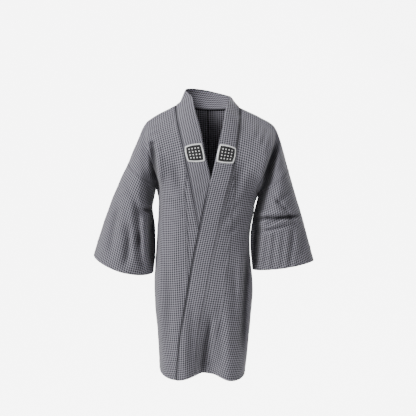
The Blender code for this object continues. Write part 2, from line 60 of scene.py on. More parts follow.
# %% [markdown]
# The camera comes next, because everything else is judged through it. It stands a little above the
# chest, as in the photograph, and it is rolled by two degrees, because the coat leans in the picture. A
# longer lens than normal keeps the sleeves and the hem in proportion.

# %% Camera
import math

import bmesh
import bpy
import numpy as np
from mathutils import Quaternion, Vector

LENS = 65
CAMERA_PLACE = Vector((0, -2.6, -0.15))
CAMERA_TARGET = Vector((-0.0007, 0, -0.353))
CAMERA_ROLL = 2.18

scene = bpy.context.scene


def place_object(name, data):
    """Puts a mesh, a camera or a lamp into the scene."""
    placed = bpy.data.objects.new(name, data)
    scene.collection.objects.link(placed)
    return placed


camera_data = bpy.data.cameras.new("studio_camera")
camera_data.lens = LENS
camera = place_object("studio_camera", camera_data)
camera.location = CAMERA_PLACE
aim = (CAMERA_TARGET - CAMERA_PLACE).to_track_quat("-Z", "Y")
camera.rotation_mode = "QUATERNION"
camera.rotation_quaternion = aim @ Quaternion((0, 0, 1), math.radians(CAMERA_ROLL))
scene.camera = camera
print("camera at", tuple(CAMERA_PLACE))

# %% [markdown]
# A coat that is held up needs a floor only as a place for soft light to bounce from. One sheet that
# bends up behind the coat has no corner to show, like the paper roll of a photo studio. It is an
# extruded profile: a flat run, a quarter circle and a wall. A studio lights its backdrop apart from the
# subject until it is white. The paper does the same with a glow that only the camera sees.

# %% Studio sheet
FLOOR_Z = -1.45
SHEET_HALF = 6.0
SHEET_FRONT = -5.0
BEND_AT = 1.6
BEND_RADIUS = 1.4
WALL_TOP = 4.0
BEND_STEPS = 24


def studio_sheet():
    profile = [(SHEET_FRONT, FLOOR_Z), (BEND_AT, FLOOR_Z)]
    for k in range(1, BEND_STEPS + 1):
        turn = math.pi / 2 * k / BEND_STEPS
        profile.append((BEND_AT + BEND_RADIUS * math.sin(turn),
                        FLOOR_Z + BEND_RADIUS * (1 - math.cos(turn))))
    profile.append((BEND_AT + BEND_RADIUS, WALL_TOP))
    corners = [(side * SHEET_HALF, y, z) for y, z in profile for side in (-1, 1)]
    faces = [(2 * k, 2 * k + 1, 2 * k + 3, 2 * k + 2) for k in range(len(profile) - 1)]
    mesh = bpy.data.meshes.new("studio_sheet")
    mesh.from_pydata(corners, [], faces)
    mesh.shade_smooth()
    sheet = place_object("studio_sheet", mesh)
    sheet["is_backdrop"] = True
    return sheet


studio = studio_sheet()
print("studio sheet:", len(studio.data.polygons), "faces")

# %% [markdown]
# A material is a small graph of nodes. Every one in this lesson is made with the same few helpers: one adds
# a node, one fills its inputs with numbers, colours or other nodes' outputs, and one starts a material. The
# paper is the first to use them.

# %% Node helpers and paper
def feed(tree, node, values):
    """Fills a node's inputs, by name or number. A value may be another node's output."""
    for label, value in dict(values).items():
        if isinstance(value, bpy.types.NodeSocket):
            tree.links.new(value, node.inputs[label])
        else:
            node.inputs[label].default_value = value


def add_node(tree, kind, values=(), **settings):
    node = tree.nodes.new(kind)
    for setting, value in settings.items():
        setattr(node, setting, value)
    feed(tree, node, values)
    return node


def new_material(name):
    """A material with its node tree and its shader."""
    material = bpy.data.materials.new(name)
    material.use_nodes = True
    tree = material.node_tree
    return material, tree, tree.nodes["Principled BSDF"]


def glow_for_camera(tree, node, label, strength, glow):
    """Sets a strength that is larger by glow where the camera looks straight at it."""
    seen = add_node(tree, "ShaderNodeLightPath").outputs["Is Camera Ray"]
    total = add_node(tree, "ShaderNodeMath", {0: seen, 1: glow, 2: strength}, operation="MULTIPLY_ADD")
    feed(tree, node, {label: total.outputs[0]})


PAPER_TONE = 0.86
PAPER_GLOW = 6.0


def studio_paper():
    material, tree, shader = new_material("studio_paper")
    feed(tree, shader, {"Base Color": (PAPER_TONE,) * 3 + (1,), "Roughness": 0.9,
                        "Emission Color": (1, 1, 1, 1)})
    glow_for_camera(tree, shader, "Emission Strength", 0, PAPER_GLOW)
    return material


studio.data.materials.append(studio_paper())
print("paper:", studio.data.materials[0].name)

# %% [markdown]
# The light is soft, as in a shop's picture. A large lamp on the left of the picture is stronger than the
# one on the right, so the folds have a lit side and a dark side and the coat's right edge falls into
# shade. The white surroundings fill the rest.

# %% Lights
LAMPS = (
    # name, place, size, watts
    ("key_lamp", (-2.35, -1.9, 1.9), 1.4, 205),
    ("fill_lamp", (2.6, -2.4, 0.6), 2.4, 8),
    ("back_lamp", (1.6, 2.0, 1.4), 1.2, 60),
)
LAMP_TARGET = Vector((0, 0, -0.4))
WORLD_GREY = 0.95
WORLD_STRENGTH = 0.40


def add_lamp(name, place, size, watts):
    data = bpy.data.lights.new(name, "AREA")
    data.energy = watts
    data.size = size
    lamp = place_object(name, data)
    lamp.location = place
    lamp.rotation_euler = (LAMP_TARGET - Vector(place)).to_track_quat("-Z", "Y").to_euler()


for lamp_row in LAMPS:
    add_lamp(*lamp_row)
world = bpy.data.worlds.new("white_room")
world.use_nodes = True
room = world.node_tree.nodes["Background"]
feed(world.node_tree, room, {"Color": (WORLD_GREY,) * 3 + (1,)})
glow_for_camera(world.node_tree, room, "Strength", WORLD_STRENGTH, PAPER_GLOW)
scene.world = world
print("lamps:", len(LAMPS))

# %% [markdown]
# Cloth follows what it hangs on. The worn body is a stack of level sections, each a rounded square with
# its own width and depth, and every front and back piece is read off the same stack. That keeps the
# pieces together at their seams. The tables hold the coat's real sizes in metres, and the coat's own
# left is on the right of the picture.

# %% Sizes of the worn coat
NECK_HALF = 0.1125       # half the width between the collar seams at the shoulder
NECK_SHIFT = -0.0145     # the neck sits a little to the wearer's right
HEM_Z = -0.920           # hem below the shoulder
ARMPIT_Z = -0.292
SEAM = 0.0004            # gap between two pieces at a seam
SIGN = {"left": 1, "right": -1}
print("shoulder to hem:", -HEM_Z)

# %% Sections of the body, the hollow and the hem
# Level sections of the body: centre, half width, depth to the front and to the back
FORM = (
    # z,      centre, half,  front,  back
    (0.010, -0.014, 0.150, 0.000, 0.055),
    (-0.010, -0.013, 0.152, 0.014, 0.066),
    (-0.050, -0.010, 0.160, 0.062, 0.086),
    (-0.100, -0.008, 0.166, 0.097, 0.101),
    (-0.150, -0.006, 0.170, 0.113, 0.111),
    (-0.200, -0.005, 0.171, 0.121, 0.118),
    (-0.292, -0.004, 0.170, 0.124, 0.121),
    (-0.360, -0.007, 0.164, 0.118, 0.112),
    (-0.440, -0.013, 0.160, 0.112, 0.104),
    (-0.530, -0.011, 0.165, 0.112, 0.111),
    (-0.620, -0.006, 0.171, 0.116, 0.121),
    (-0.700, -0.004, 0.168, 0.118, 0.122),
    (-0.780, -0.001, 0.161, 0.117, 0.116),
    (-0.860, 0.001, 0.155, 0.112, 0.110),
    (-0.940, 0.001, 0.150, 0.108, 0.105),
)
# The hollow that the cloth falls into between the thighs
HOLLOW_X = 0.016
HOLLOW_HALF = 0.080
HOLLOW = (
    # z,      depth
    (-0.600, 0.000),
    (-0.680, 0.004),
    (-0.740, 0.018),
    (-0.800, 0.038),
    (-0.870, 0.056),
    (-0.940, 0.064),
)
# Height of the hem round the body, by the angle from the front
HEM = (
    # degrees, z
    (-180, -0.932),
    (-90, -0.926),
    (-38, -0.942),
    (6, -0.923),
    (44, -0.938),
    (90, -0.926),
    (180, -0.932),
)
print("sections:", len(FORM))

# %% Edges of the two fronts and of the neck
# The two fronts: x of the collar's free edge and of its seam at each height. The left one laps over.
LEFT_FRONT = (
    # z,     free edge, seam
    (-0.004, 0.0580, 0.0980),
    (-0.058, 0.0410, 0.0960),
    (-0.108, 0.0320, 0.0920),
    (-0.160, 0.0220, 0.0865),
    (-0.207, 0.0125, 0.0797),
    (-0.249, 0.0053, 0.0715),
    (-0.284, -0.0020, 0.0640),
    (-0.346, -0.0142, 0.0512),
    (-0.430, -0.0285, 0.0365),
    (-0.512, -0.0430, 0.0215),
    (-0.633, -0.0590, 0.0045),
    (-0.700, -0.0682, -0.0058),
    (-0.789, -0.0790, -0.0165),
    (-0.860, -0.0835, -0.0205),
    (-0.940, -0.0860, -0.0230),
)
RIGHT_FRONT = (
    (-0.004, -0.0640, -0.1270),
    (-0.058, -0.0460, -0.1165),
    (-0.108, -0.0310, -0.1025),
    (-0.160, -0.0165, -0.0880),
    (-0.207, -0.0045, -0.0767),
    (-0.249, 0.0053, -0.0663),
    (-0.284, 0.0135, -0.0590),
    (-0.346, 0.0265, -0.0460),
    (-0.430, 0.0420, -0.0280),
    (-0.512, 0.0540, -0.0135),
    (-0.633, 0.0690, 0.0020),
    (-0.700, 0.0760, 0.0095),
    (-0.789, 0.0845, 0.0190),
    (-0.860, 0.0880, 0.0235),
    (-0.940, 0.0900, 0.0260),
)
# Width of the extension strip between the collar and the body panel
EXTENSION = (
    # z,     width
    (-0.173, 0.0000),
    (-0.196, 0.0014),
    (-0.220, 0.0034),
    (-0.249, 0.0095),
    (-0.284, 0.0200),
    (-0.346, 0.0275),
    (-0.430, 0.0400),
    (-0.512, 0.0508),
    (-0.633, 0.0583),
    (-0.700, 0.0597),
    (-0.789, 0.0562),
    (-0.860, 0.0500),
    (-0.940, 0.0360),
)
# The collar's free edge above the lap, from the lap up to the middle of the back
LEFT_NECK = (
    # share, x,     y,      z
    (0.00, 0.0053, -0.1225, -0.249),
    (0.22, 0.0190, -0.1165, -0.178),
    (0.42, 0.0340, -0.0930, -0.086),
    (0.60, 0.0490, -0.0480, -0.006),
    (0.72, 0.0600, 0.0000, 0.031),
    (0.82, 0.0620, 0.0420, 0.038),
    (0.90, 0.0380, 0.0760, 0.046),
    (1.00, -0.0140, 0.0900, 0.057),
)
RIGHT_NECK = (
    (0.00, 0.0053, -0.1165, -0.249),
    (0.22, -0.0130, -0.1165, -0.178),
    (0.42, -0.0350, -0.0930, -0.086),
    (0.60, -0.0620, -0.0420, -0.001),
    (0.72, -0.0730, -0.0050, 0.032),
    (0.82, -0.0985, 0.0380, 0.055),
    (0.90, -0.0660, 0.0740, 0.062),
    (1.00, -0.0140, 0.0900, 0.057),
)
print("lap at the hem:", round(RIGHT_FRONT[-1][1] - LEFT_FRONT[-1][1], 3))

# %% Shoulders and sleeves
# The front of the shoulder, seen on the left side. step runs out from the collar seam to the sleeve,
# and upper and lower are a third and two thirds of the way down to the armpit line.
FRONT_SHOULDER = (
    # step, ridge x, ridge z, upper x, y, z,         lower x, y, z
    (0.30, 0.158, -0.026, 0.152, -0.075, -0.106, 0.141, -0.105, -0.200),
    (0.55, 0.203, -0.050, 0.197, -0.072, -0.126, 0.173, -0.099, -0.216),
    (0.64, 0.218, -0.061, 0.212, -0.063, -0.136, 0.184, -0.085, -0.226),
    (0.72, 0.231, -0.081, 0.211, -0.043, -0.151, 0.175, -0.052, -0.238),
    (0.81, 0.244, -0.112, 0.229, -0.053, -0.168, 0.186, -0.066, -0.248),
)
BACK_SHOULDER = (
    # step, upper x, y, z,        lower x, y, z
    (0.00, 0.100, 0.086, -0.105, 0.098, 0.103, -0.200),
    (0.30, 0.152, 0.081, -0.110, 0.144, 0.100, -0.203),
    (0.55, 0.199, 0.074, -0.128, 0.180, 0.092, -0.218),
    (0.72, 0.222, 0.058, -0.152, 0.187, 0.070, -0.236),
    (0.85, 0.245, 0.061, -0.182, 0.195, 0.073, -0.254),
)
# Share of the way from the front or back edge to the side seam that each step has below the armpit
SIDE_SHARE = (
    # step, share
    (0.00, 0.00),
    (0.30, 0.32),
    (0.55, 0.60),
    (0.72, 0.77),
    (0.85, 0.88),
    (1.00, 1.00),
)
# Sleeve sections from the armhole to the cuff: the fold over the arm (outer) and the seam under it
# (inner), then the depth to the front and the back and how far the front edge hangs lower
LEFT_SLEEVE = (
    # share, outer x, z,    inner x, z,     front,  back, droop
    (0.00, 0.272, -0.212, 0.173, -0.292, 0.085, 0.082, 0.000),
    (0.25, 0.298, -0.288, 0.162, -0.352, 0.086, 0.080, 0.000),
    (0.50, 0.325, -0.365, 0.152, -0.424, 0.084, 0.078, 0.000),
    (0.75, 0.350, -0.442, 0.154, -0.493, 0.080, 0.076, 0.000),
    (1.00, 0.375, -0.520, 0.164, -0.561, 0.077, 0.072, 0.002),
)
RIGHT_SLEEVE = (
    (0.00, 0.283, -0.210, 0.182, -0.292, 0.085, 0.082, 0.000),
    (0.25, 0.316, -0.286, 0.188, -0.358, 0.088, 0.080, 0.004),
    (0.50, 0.346, -0.368, 0.181, -0.432, 0.088, 0.079, 0.008),
    (0.75, 0.371, -0.449, 0.1785, -0.508, 0.084, 0.077, 0.014),
    (1.00, 0.394, -0.529, 0.184, -0.582, 0.080, 0.074, 0.022),
)
SLEEVE_ROUND = 1.8       # below 2 the section comes to a soft edge at the fold and at the seam
# Creases pressed into the sleeves. Angles start at the fold over the arm and go round the front.
LEFT_CREASES = (
    # share along, angle, reach along, reach round, depth
    (0.53, 105, 0.045, 70, 0.010),
    (0.63, 150, 0.110, 16, 0.006),
    (0.80, 62, 0.230, 12, 0.004),
    (0.45, 250, 0.060, 50, 0.007),
    (0.75, 300, 0.250, 14, 0.005),
)
RIGHT_CREASES = (
    (0.36, 128, 0.060, 34, 0.012),
    (0.50, 158, 0.150, 22, 0.009),
    (0.72, 98, 0.300, 13, 0.006),
    (0.42, 240, 0.060, 46, 0.007),
    (0.70, 285, 0.260, 14, 0.005),
)
SIDES = {
    "left": dict(spread=0.985, front=LEFT_FRONT, neck=LEFT_NECK, sleeve=LEFT_SLEEVE,
                 creases=LEFT_CREASES),
    "right": dict(spread=1.01, front=RIGHT_FRONT, neck=RIGHT_NECK, sleeve=RIGHT_SLEEVE,
                  creases=RIGHT_CREASES),
}
print("sides:", list(SIDES))

# %% [markdown]
# A table gives a few rows, and a smooth curve through them gives every height in between. The curve is
# a cubic one that keeps its slope from row to row, the same as a gentle hand-drawn line through points.

# %% Smooth curves through a table
def smooth(share):
    """Ease from 0 to 1."""
    share = min(1.0, max(0.0, share))
    return share * share * (3 - 2 * share)


def read(table, at):
    """The columns of a table at a value of its first column, on a smooth curve through its rows."""
    rows = np.array(table, float)
    if rows[0, 0] > rows[-1, 0]:
        rows = rows[::-1]
    knots = rows[:, 0]
    values = rows[:, 1:]
    at = min(max(at, knots[0]), knots[-1])
    gaps = np.diff(knots)
    slopes = np.diff(values, axis=0) / gaps[:, None]
    tangents = np.zeros_like(values)
    tangents[0] = slopes[0]
    tangents[-1] = slopes[-1]
    for k in range(1, len(knots) - 1):
        tangents[k] = (gaps[k] * slopes[k - 1] + gaps[k - 1] * slopes[k]) / (gaps[k - 1] + gaps[k])
    k = min(int(np.searchsorted(knots, at, side="right")) - 1, len(knots) - 2)
    width = gaps[k]
    t = (at - knots[k]) / width
    return ((2 * t**3 - 3 * t**2 + 1) * values[k] + (t**3 - 2 * t**2 + t) * width * tangents[k]
            + (3 * t**2 - 2 * t**3) * values[k + 1] + (t**3 - t**2) * width * tangents[k + 1])


print("half width at the waist:", round(float(read(FORM, -0.44)[1]), 4))

# %% [markdown]
# These helpers give a point of the body's outer face for an angle and a height, the front's point for an
# x and a height, and the drop that lets the right front pass under the left one.

# %% Points of the worn body
CROWN = 2.3              # exponent of the rounded-square body sections
WIDEST = 0.999           # share of the half width at which a front point may still lie
PROBE = 0.002            # distance over which a slope of the body's form is taken
LAP_DROP = 0.0062        # how far the right front lies below the left front that laps over it
LAP_EASE = 0.080         # the right front sinks over this width before the lap
LAP_EDGE = 0.004         # and is all the way down this far before it


def ring(degrees, z):
    """A point of the worn body's outer face: 0 is the middle of the front, 90 the left side."""
    centre, half, front, back = read(FORM, z)
    angle = math.radians(degrees)
    across = math.copysign(abs(math.sin(angle)) ** (2 / CROWN), math.sin(angle))
    along = math.copysign(abs(math.cos(angle)) ** (2 / CROWN), math.cos(angle))
    x = centre + half * across
    y = -front * along if along > 0 else -back * along
    if along > 0:
        y += hollow(x, z)
    return np.array([x, y, z])


def hollow(x, z):
    """How far the front is pressed in between the thighs."""
    share = abs(x - HOLLOW_X) / HOLLOW_HALF
    if share >= 1 or z > HOLLOW[0][0]:
        return 0.0
    return read(HOLLOW, z)[0] * math.cos(math.pi / 2 * share) ** 2


def angle_at(x, z):
    """The angle of the front's point at that x."""
    centre, half = read(FORM, z)[:2]
    share = min(WIDEST, max(-WIDEST, (x - centre) / half))
    return math.degrees(math.asin(math.copysign(abs(share) ** (CROWN / 2), share)))


def front_at(x, z, drop=0.0):
    """The front's point at x and z, dropped inwards along the face's normal."""
    point = ring(angle_at(x, z), z)
    if drop == 0:
        return point
    across = ring(angle_at(x + PROBE, z), z) - ring(angle_at(x - PROBE, z), z)
    down = ring(angle_at(x, z - PROBE), z - PROBE) - ring(angle_at(x, z + PROBE), z + PROBE)
    normal = np.cross(down, across)
    return point - normal / np.linalg.norm(normal) * drop


def hem_z(degrees):
    return float(read(HEM, degrees)[0])


def lap_drop(side, x, z):
    """The right front sinks under the left one near and behind its free edge."""
    if side == "left":
        return 0.0
    free = read(LEFT_FRONT, z)[0]
    return LAP_DROP * smooth((x - free + LAP_EASE) / (LAP_EASE - LAP_EDGE))


def edge_x(side, column, z):
    """x of a front's free edge (0), collar seam (1) or body seam (2)."""
    free, seam = read(SIDES[side]["front"], z)
    width = max(0.0, read(EXTENSION, z)[0])
    return float((free, seam, seam + SIGN[side] * width)[column])


print("middle of the chest:", [round(float(v), 3) for v in ring(0, -0.2)])

# %% [markdown]
# The sleeve is a wide flat tube, so its sections are soft ovals between two lines: the fold over the arm
# and the seam under it. The armhole is simply its first section, and the body panel ends there too.

# %% Points of the sleeve
def armhole(side, degrees):
    """A point of the armhole: 0 at the fold over the arm, 90 in front, 180 at the armpit."""
    return sleeve_point(side, 0.0, degrees, creased=False)


def sleeve_point(side, share, degrees, creased=True):
    """A point of the sleeve's outer face."""
    row = read(SIDES[side]["sleeve"], share)
    outer = np.array([row[0], 0.0, row[1]])
    inner = np.array([row[2], 0.0, row[3]])
    angle = math.radians(degrees)
    swing = math.copysign(abs(math.cos(angle)) ** (2 / sleeve_round(share)), math.cos(angle))
    out = math.copysign(abs(math.sin(angle)) ** (2 / sleeve_round(share)), math.sin(angle))
    point = (outer + inner) / 2 + (outer - inner) / 2 * swing
    point[1] = -(row[4] if out > 0 else row[5]) * out
    point[2] -= row[6] * out
    if creased:
        point = point + sleeve_crease(side, share, degrees, point, (outer + inner) / 2)
    point[0] *= SIGN[side]
    return point


def sleeve_round(share):
    return 2.0 + (SLEEVE_ROUND - 2.0) * share


def sleeve_crease(side, share, degrees, point, centre):
    """Soft troughs that pull the face towards the sleeve's middle."""
    depth = 0.0
    for along, angle, reach_along, reach_round, deep in SIDES[side]["creases"]:
        off = math.hypot((share - along) / reach_along, (degrees - angle) / reach_round)
        depth += deep * (1 - smooth(off))
    inward = centre - point
    return inward / max(np.linalg.norm(inward), 1e-6) * depth


print("cuff's lowest point:", [round(float(v), 3) for v in sleeve_point("left", 1.0, 180)])

# %% [markdown]
# Below the armpit a panel runs from its front edge round to the side seam. Above it, the panel runs
# from the top of the shoulder down over the chest, and out to the armhole. Both use the same shares of
# the way across, so the columns of the mesh run on without a break.

# %% Below the armpit
def side_angle(step):
    return float(read(SIDE_SHARE, step)[0])


def skirt_point(side, start, step, share):
    """Below the armpit: from the angle where the piece starts round to the side seam."""
    sign = SIGN[side]

    def at(z):
        from_angle = start(z)
        return from_angle + (90 * sign - from_angle) * side_angle(step)

    z = ARMPIT_Z + (HEM_Z - ARMPIT_Z) * share
    degrees = at(z)
    z = ARMPIT_Z + (hem_z(degrees) - ARMPIT_Z) * share
    degrees = at(z)
    point = ring(degrees, z)
    if abs(degrees) < 90:
        point = front_at(point[0], z, lap_drop(side, point[0], z))
    return point


def front_start(side):
    """The angle of the body panel's front edge at a height."""
    gap = SEAM / 2 * SIGN[side]
    return lambda z: angle_at(edge_x(side, 2, z) + gap, z)


print("side seam starts at:", [round(float(v), 3) for v in skirt_point("left", front_start("left"), 1, 0)])

# %% [markdown]
# The shoulder's rows run from the ridge down to the armpit line. Each column is a curve through the ridge,
# the chest's two sections, the armpit line and a point below it, so it has no bend where the skirt begins.
# On this cut the armhole lies well below the shoulder's tip, which makers call a dropped shoulder.

# %% Shoulder rows
SHOULDER_ROWS = 12       # rows from the top of the shoulder to the armpit line
FRONT_STEPS = (0, 0.1, 0.2, 0.3, 0.4, 0.5, 0.58, 0.64, 0.68, 0.72, 0.76, 0.81, 0.87, 0.94, 1)
UPPER = 0.34             # shares of the way from the shoulder's top to the armpit line, where
LOWER = 0.67             # the chest and the upper back have a section
NECK_TOP_Z = -0.004      # height of the neckline at the shoulder
SHIFT_STEP = 0.55        # step of the shoulder out to which the neck's shift is felt
ARM_STEP = 0.94          # step of the shoulder's last column before the armhole
ARM_REACH = 0.012        # and how far above the armhole it lies
ARM_TURN = 112           # degrees round the armhole where that begins to fade, and over how many
ARM_FADE = 56
ARM_PROBE = 0.05         # share of the sleeve over which its direction is taken
BELOW_SHARE = 0.1        # share of the way to the hem that the front's curves aim for
BELOW_AT = 1.2           # and its place on them, where the armpit line is at 1


def ridge(side, step):
    """The top of the shoulder, from the collar seam to the fold over the sleeve."""
    rows = [(0.0, SIGN[side] * NECK_HALF + NECK_SHIFT, 0.0, NECK_TOP_Z)]
    for row in FRONT_SHOULDER:
        rows.append((row[0], *leaned(side, row[0], 0.0, row[1], 0.0, row[2])))
    rows.append((1.0, *armhole(side, 0)))
    return read(rows, step)


def shoulder_grid(side, stations, start, way):
    """Rows from the ridge down to the armpit, across from the neck to the armhole.

    way is 1 round the armhole's front and -1 round its back."""
    grid = [[ridge(side, step) for step in FRONT_STEPS]]
    for row in range(1, SHOULDER_ROWS + 1):
        share = row / SHOULDER_ROWS
        across = []
        for step, upper, lower in stations:
            low = skirt_point(side, start, step, 0.0)
            below = skirt_point(side, start, step, BELOW_SHARE)
            across.append((step, *down_to_waist(share, ridge(side, step), upper, lower, low, below)))
        turn = way * 180 * share
        across.append((1.0, *armhole(side, turn)))
        across.insert(-1, (ARM_STEP, *arm_top(side, turn, read(across, ARM_STEP))))
        grid.append([read(across, step) for step in FRONT_STEPS])
    return grid


def down_to_waist(share, top, upper, lower, low, below):
    """A point on the curve from the top of the shoulder to the armpit line and on."""
    rows = [(0.0, *top), (UPPER, *upper), (LOWER, *lower), (1.0, *low), (BELOW_AT, *below)]
    return read(rows, share)


def arm_top(side, degrees, point):
    """Just above the armhole the panel runs straight on into the sleeve, but not at the armpit."""
    edge = armhole(side, degrees)
    along = edge - sleeve_point(side, ARM_PROBE, degrees, creased=False)
    straight = edge + along / np.linalg.norm(along) * ARM_REACH
    return point + (straight - point) * (1 - smooth((abs(degrees) - ARM_TURN) / ARM_FADE))


def leaned(side, step, level, x, y, z):
    """A shoulder table's point, put on its side, with the neck's shift fading out.

    spread is how far the arm stands off on that side, against the table."""
    lean = NECK_SHIFT * (1 - level) * max(0.0, 1 - step / SHIFT_STEP)
    spread = 1 + (SIDES[side]["spread"] - 1) * min(1.0, step / SHIFT_STEP)
    return np.array([SIGN[side] * x * spread + lean, y, z])


print("top of the left shoulder:", [round(float(v), 3) for v in ridge("left", 1.0)])

# %% Sections of the chest and the neckline
UPPER_Z = -0.108         # heights of the chest's two sections at the front edge
LOWER_Z = -0.204
NECK_BACK = 0.068        # depth of the back neckline behind the shoulder line
NECK_BACK_Z = -0.013     # and its height at the middle of the back


def front_stations(side):
    """The front edge on the body's own form, then the table's stations."""
    stations = [(0.0, front_at(edge_x(side, 2, UPPER_Z), UPPER_Z),
                 front_at(edge_x(side, 2, LOWER_Z), LOWER_Z))]
    for row in FRONT_SHOULDER:
        stations.append((row[0], leaned(side, row[0], UPPER, *row[3:6]),
                         leaned(side, row[0], LOWER, *row[6:9])))
    return stations


def back_stations(side):
    return [(row[0], leaned(side, row[0], UPPER, *row[1:4]), leaned(side, row[0], LOWER, *row[4:7]))
            for row in BACK_SHOULDER]


def neckline(side, share):
    """The back neckline, from the middle of the back (0) to the shoulder (1)."""
    turn = share * math.pi / 2
    return np.array([SIGN[side] * NECK_HALF * math.sin(turn) + NECK_SHIFT, NECK_BACK * math.cos(turn),
                     NECK_BACK_Z + (NECK_TOP_Z - NECK_BACK_Z) * share])


print("middle of the back neckline:", [round(float(v), 3) for v in neckline("left", 0)])

# %% Front, back and strip
SKIRT_ROWS = 20          # rows from the armpit line to the hem
NECK_COLUMNS = 6         # columns of the back inside the neck's width
EXTENSION_COLUMNS = 3
EXTENSION_FIRST_ROW = 8  # row of the shoulder where the extension strip begins
BACK_UPPER_Z = -0.105    # heights of the upper back's two sections
BACK_LOWER_Z = -0.200
SETTLE_ROUNDS = 3        # rounds in which a front point's x and height settle on each other
SEAT_SHARE = 0.17        # share of the way down to the armpit line over which the front edge settles
BELOW_ARMPIT = 0.06      # distance below the armpit that the back's curves aim for
CORNER_IN = 0.004        # how much nearer the middle the neck columns end below than above


def front_grid(side):
    """The front of a body panel, from the ridge to the hem."""
    start = front_start(side)
    grid = shoulder_grid(side, front_stations(side), start, 1)
    for row in range(1, SKIRT_ROWS + 1):
        grid.append([skirt_point(side, start, step, row / SKIRT_ROWS) for step in FRONT_STEPS])
    edge = (2, SEAM / 2)
    for row in range(1, SHOULDER_ROWS + SKIRT_ROWS + 1):
        grid[row][0] = front_row(side, row, 0, edge, edge)
    return grid


def front_row(side, row, part, inner, outer):
    """A point of one of the front's rows, counted from the ridge down to the hem.

    part runs from one of the front's edges (inner) to another (outer), each a column and its gap."""
    top = ridge(side, 0.0)
    share = min(1.0, row / SHOULDER_ROWS)
    z = top[2] + (ARMPIT_Z - top[2]) * share
    below = max(0.0, (row - SHOULDER_ROWS) / SKIRT_ROWS)
    for _ in range(SETTLE_ROUNDS):
        ends = [edge_x(side, column, z) + gap * SIGN[side] for column, gap in (inner, outer)]
        x = ends[0] + (ends[1] - ends[0]) * part
        if below > 0:
            z = ARMPIT_Z + (hem_z(angle_at(x, z)) - ARMPIT_Z) * below
    point = front_at(x, z, lap_drop(side, x, z))
    seat = top - front_at(edge_x(side, 2, top[2]), top[2])
    return point + seat * (1 - smooth(share / SEAT_SHARE))


def back_grid(side):
    """The back of a body panel, from the neckline and the ridge to the hem."""
    middle = 180.0 * SIGN[side]
    corner = angle_of_back(side)
    outer = shoulder_grid(side, back_stations(side), lambda z: corner, -1)
    parts = [column / NECK_COLUMNS for column in range(NECK_COLUMNS)]
    grid = []
    for row in range(SHOULDER_ROWS + 1):
        inner = []
        for part in parts:
            degrees = middle + (corner - middle) * part
            upper = leaned(side, 0, UPPER, *back_spot(BACK_SHOULDER[0][1] * part, BACK_UPPER_Z))
            lower = leaned(side, 0, LOWER, *back_spot(BACK_SHOULDER[0][4] * part, BACK_LOWER_Z))
            inner.append(down_to_waist(row / SHOULDER_ROWS, neckline(side, part), upper, lower,
                                       ring(degrees, ARMPIT_Z), ring(degrees, ARMPIT_Z - BELOW_ARMPIT)))
        grid.append(inner + outer[row])
    for row in range(1, SKIRT_ROWS + 1):
        share = row / SKIRT_ROWS
        inner = []
        for part in parts:
            degrees = middle + (corner - middle) * part
            inner.append(ring(degrees, ARMPIT_Z + (hem_z(degrees) - ARMPIT_Z) * share))
        grid.append(inner + [skirt_point(side, lambda z: corner, step, share) for step in FRONT_STEPS])
    for row in grid:
        row[0] = row[0] + np.array([SIGN[side] * SEAM / 2, 0, 0])
    return grid


def back_spot(x, z):
    """A point of the upper back's form, for a side still to be chosen."""
    half, back = read(FORM, z)[[1, 3]]
    return x, back * (1 - (x / half) ** CROWN) ** (1 / CROWN), z


def angle_of_back(side):
    """Where the neck columns end on the armpit line, a little nearer the middle than above it."""
    across = BACK_SHOULDER[0][4] - CORNER_IN
    return SIGN[side] * (180 - angle_at(across + read(FORM, ARMPIT_Z)[0], ARMPIT_Z))


def extension_grid(side):
    """The strip between the body panel and the collar, widening down to the hem."""
    return [[front_row(side, row, c / EXTENSION_COLUMNS, (1, SEAM / 2), (2, -SEAM))
             for c in range(EXTENSION_COLUMNS + 1)]
            for row in range(EXTENSION_FIRST_ROW, SHOULDER_ROWS + SKIRT_ROWS + 1)]


print("rows down the front:", SHOULDER_ROWS + SKIRT_ROWS)

# %% Collar band
COLLAR_COLUMNS = 5
COLLAR_CROWN = 0.004     # how far the collar's middle stands out from its two edges
NECK_SEAM = 0.0013       # a wider seam, where the collar turns up round the neck
LAP_ROW = 10             # row of the shoulder where the two fronts cross
CHEST_ROWS = 4           # rows of the collar over which it leaves the chest above the lap
NECK_SAMPLES = 60
NECK_TURN = 1 / 3        # share of the neckline over which the seam turns upright


def collar_row(side, row):
    """A row of the collar that lies on the chest, from its seam to its free edge."""
    return [front_row(side, row, c / COLLAR_COLUMNS, (1, -SEAM / 2), (0, 0))
            for c in range(COLLAR_COLUMNS + 1)]


def collar_half(side):
    """Half the collar band, from the hem up to the middle of the back."""
    lower = [collar_row(side, row) for row in range(SHOULDER_ROWS + SKIRT_ROWS, LAP_ROW - 1, -1)]
    seam = [front_row(side, row, 0, (1, -SEAM / 2 - (NECK_SEAM - SEAM) / row), (0, 0))
            for row in range(LAP_ROW, 0, -1)]
    for row in range(NECK_COLUMNS + 1):
        share = row / NECK_COLUMNS
        seam.append(neckline(side, 1 - share) + neck_gap(side, share))
    table = SIDES[side]["neck"]
    free = lengthwise([read(table, k / NECK_SAMPLES) for k in range(NECK_SAMPLES + 1)], len(seam))
    upper = []
    for row, (start, end) in enumerate(zip(seam, free)):
        share = row / (len(seam) - 1)
        end = end + (lower[-1][-1] - free[0]) * (1 - smooth(share * len(seam) / CHEST_ROWS))
        upper.append([start + (end - start) * c / COLLAR_COLUMNS for c in range(COLLAR_COLUMNS + 1)])
    upper = crowned(upper, side)
    for row in range(CHEST_ROWS):
        share = smooth(row / CHEST_ROWS)
        upper[row] = [a + (b - a) * share for a, b in zip(collar_row(side, LAP_ROW - row), upper[row])]
    return lower[:-1] + upper


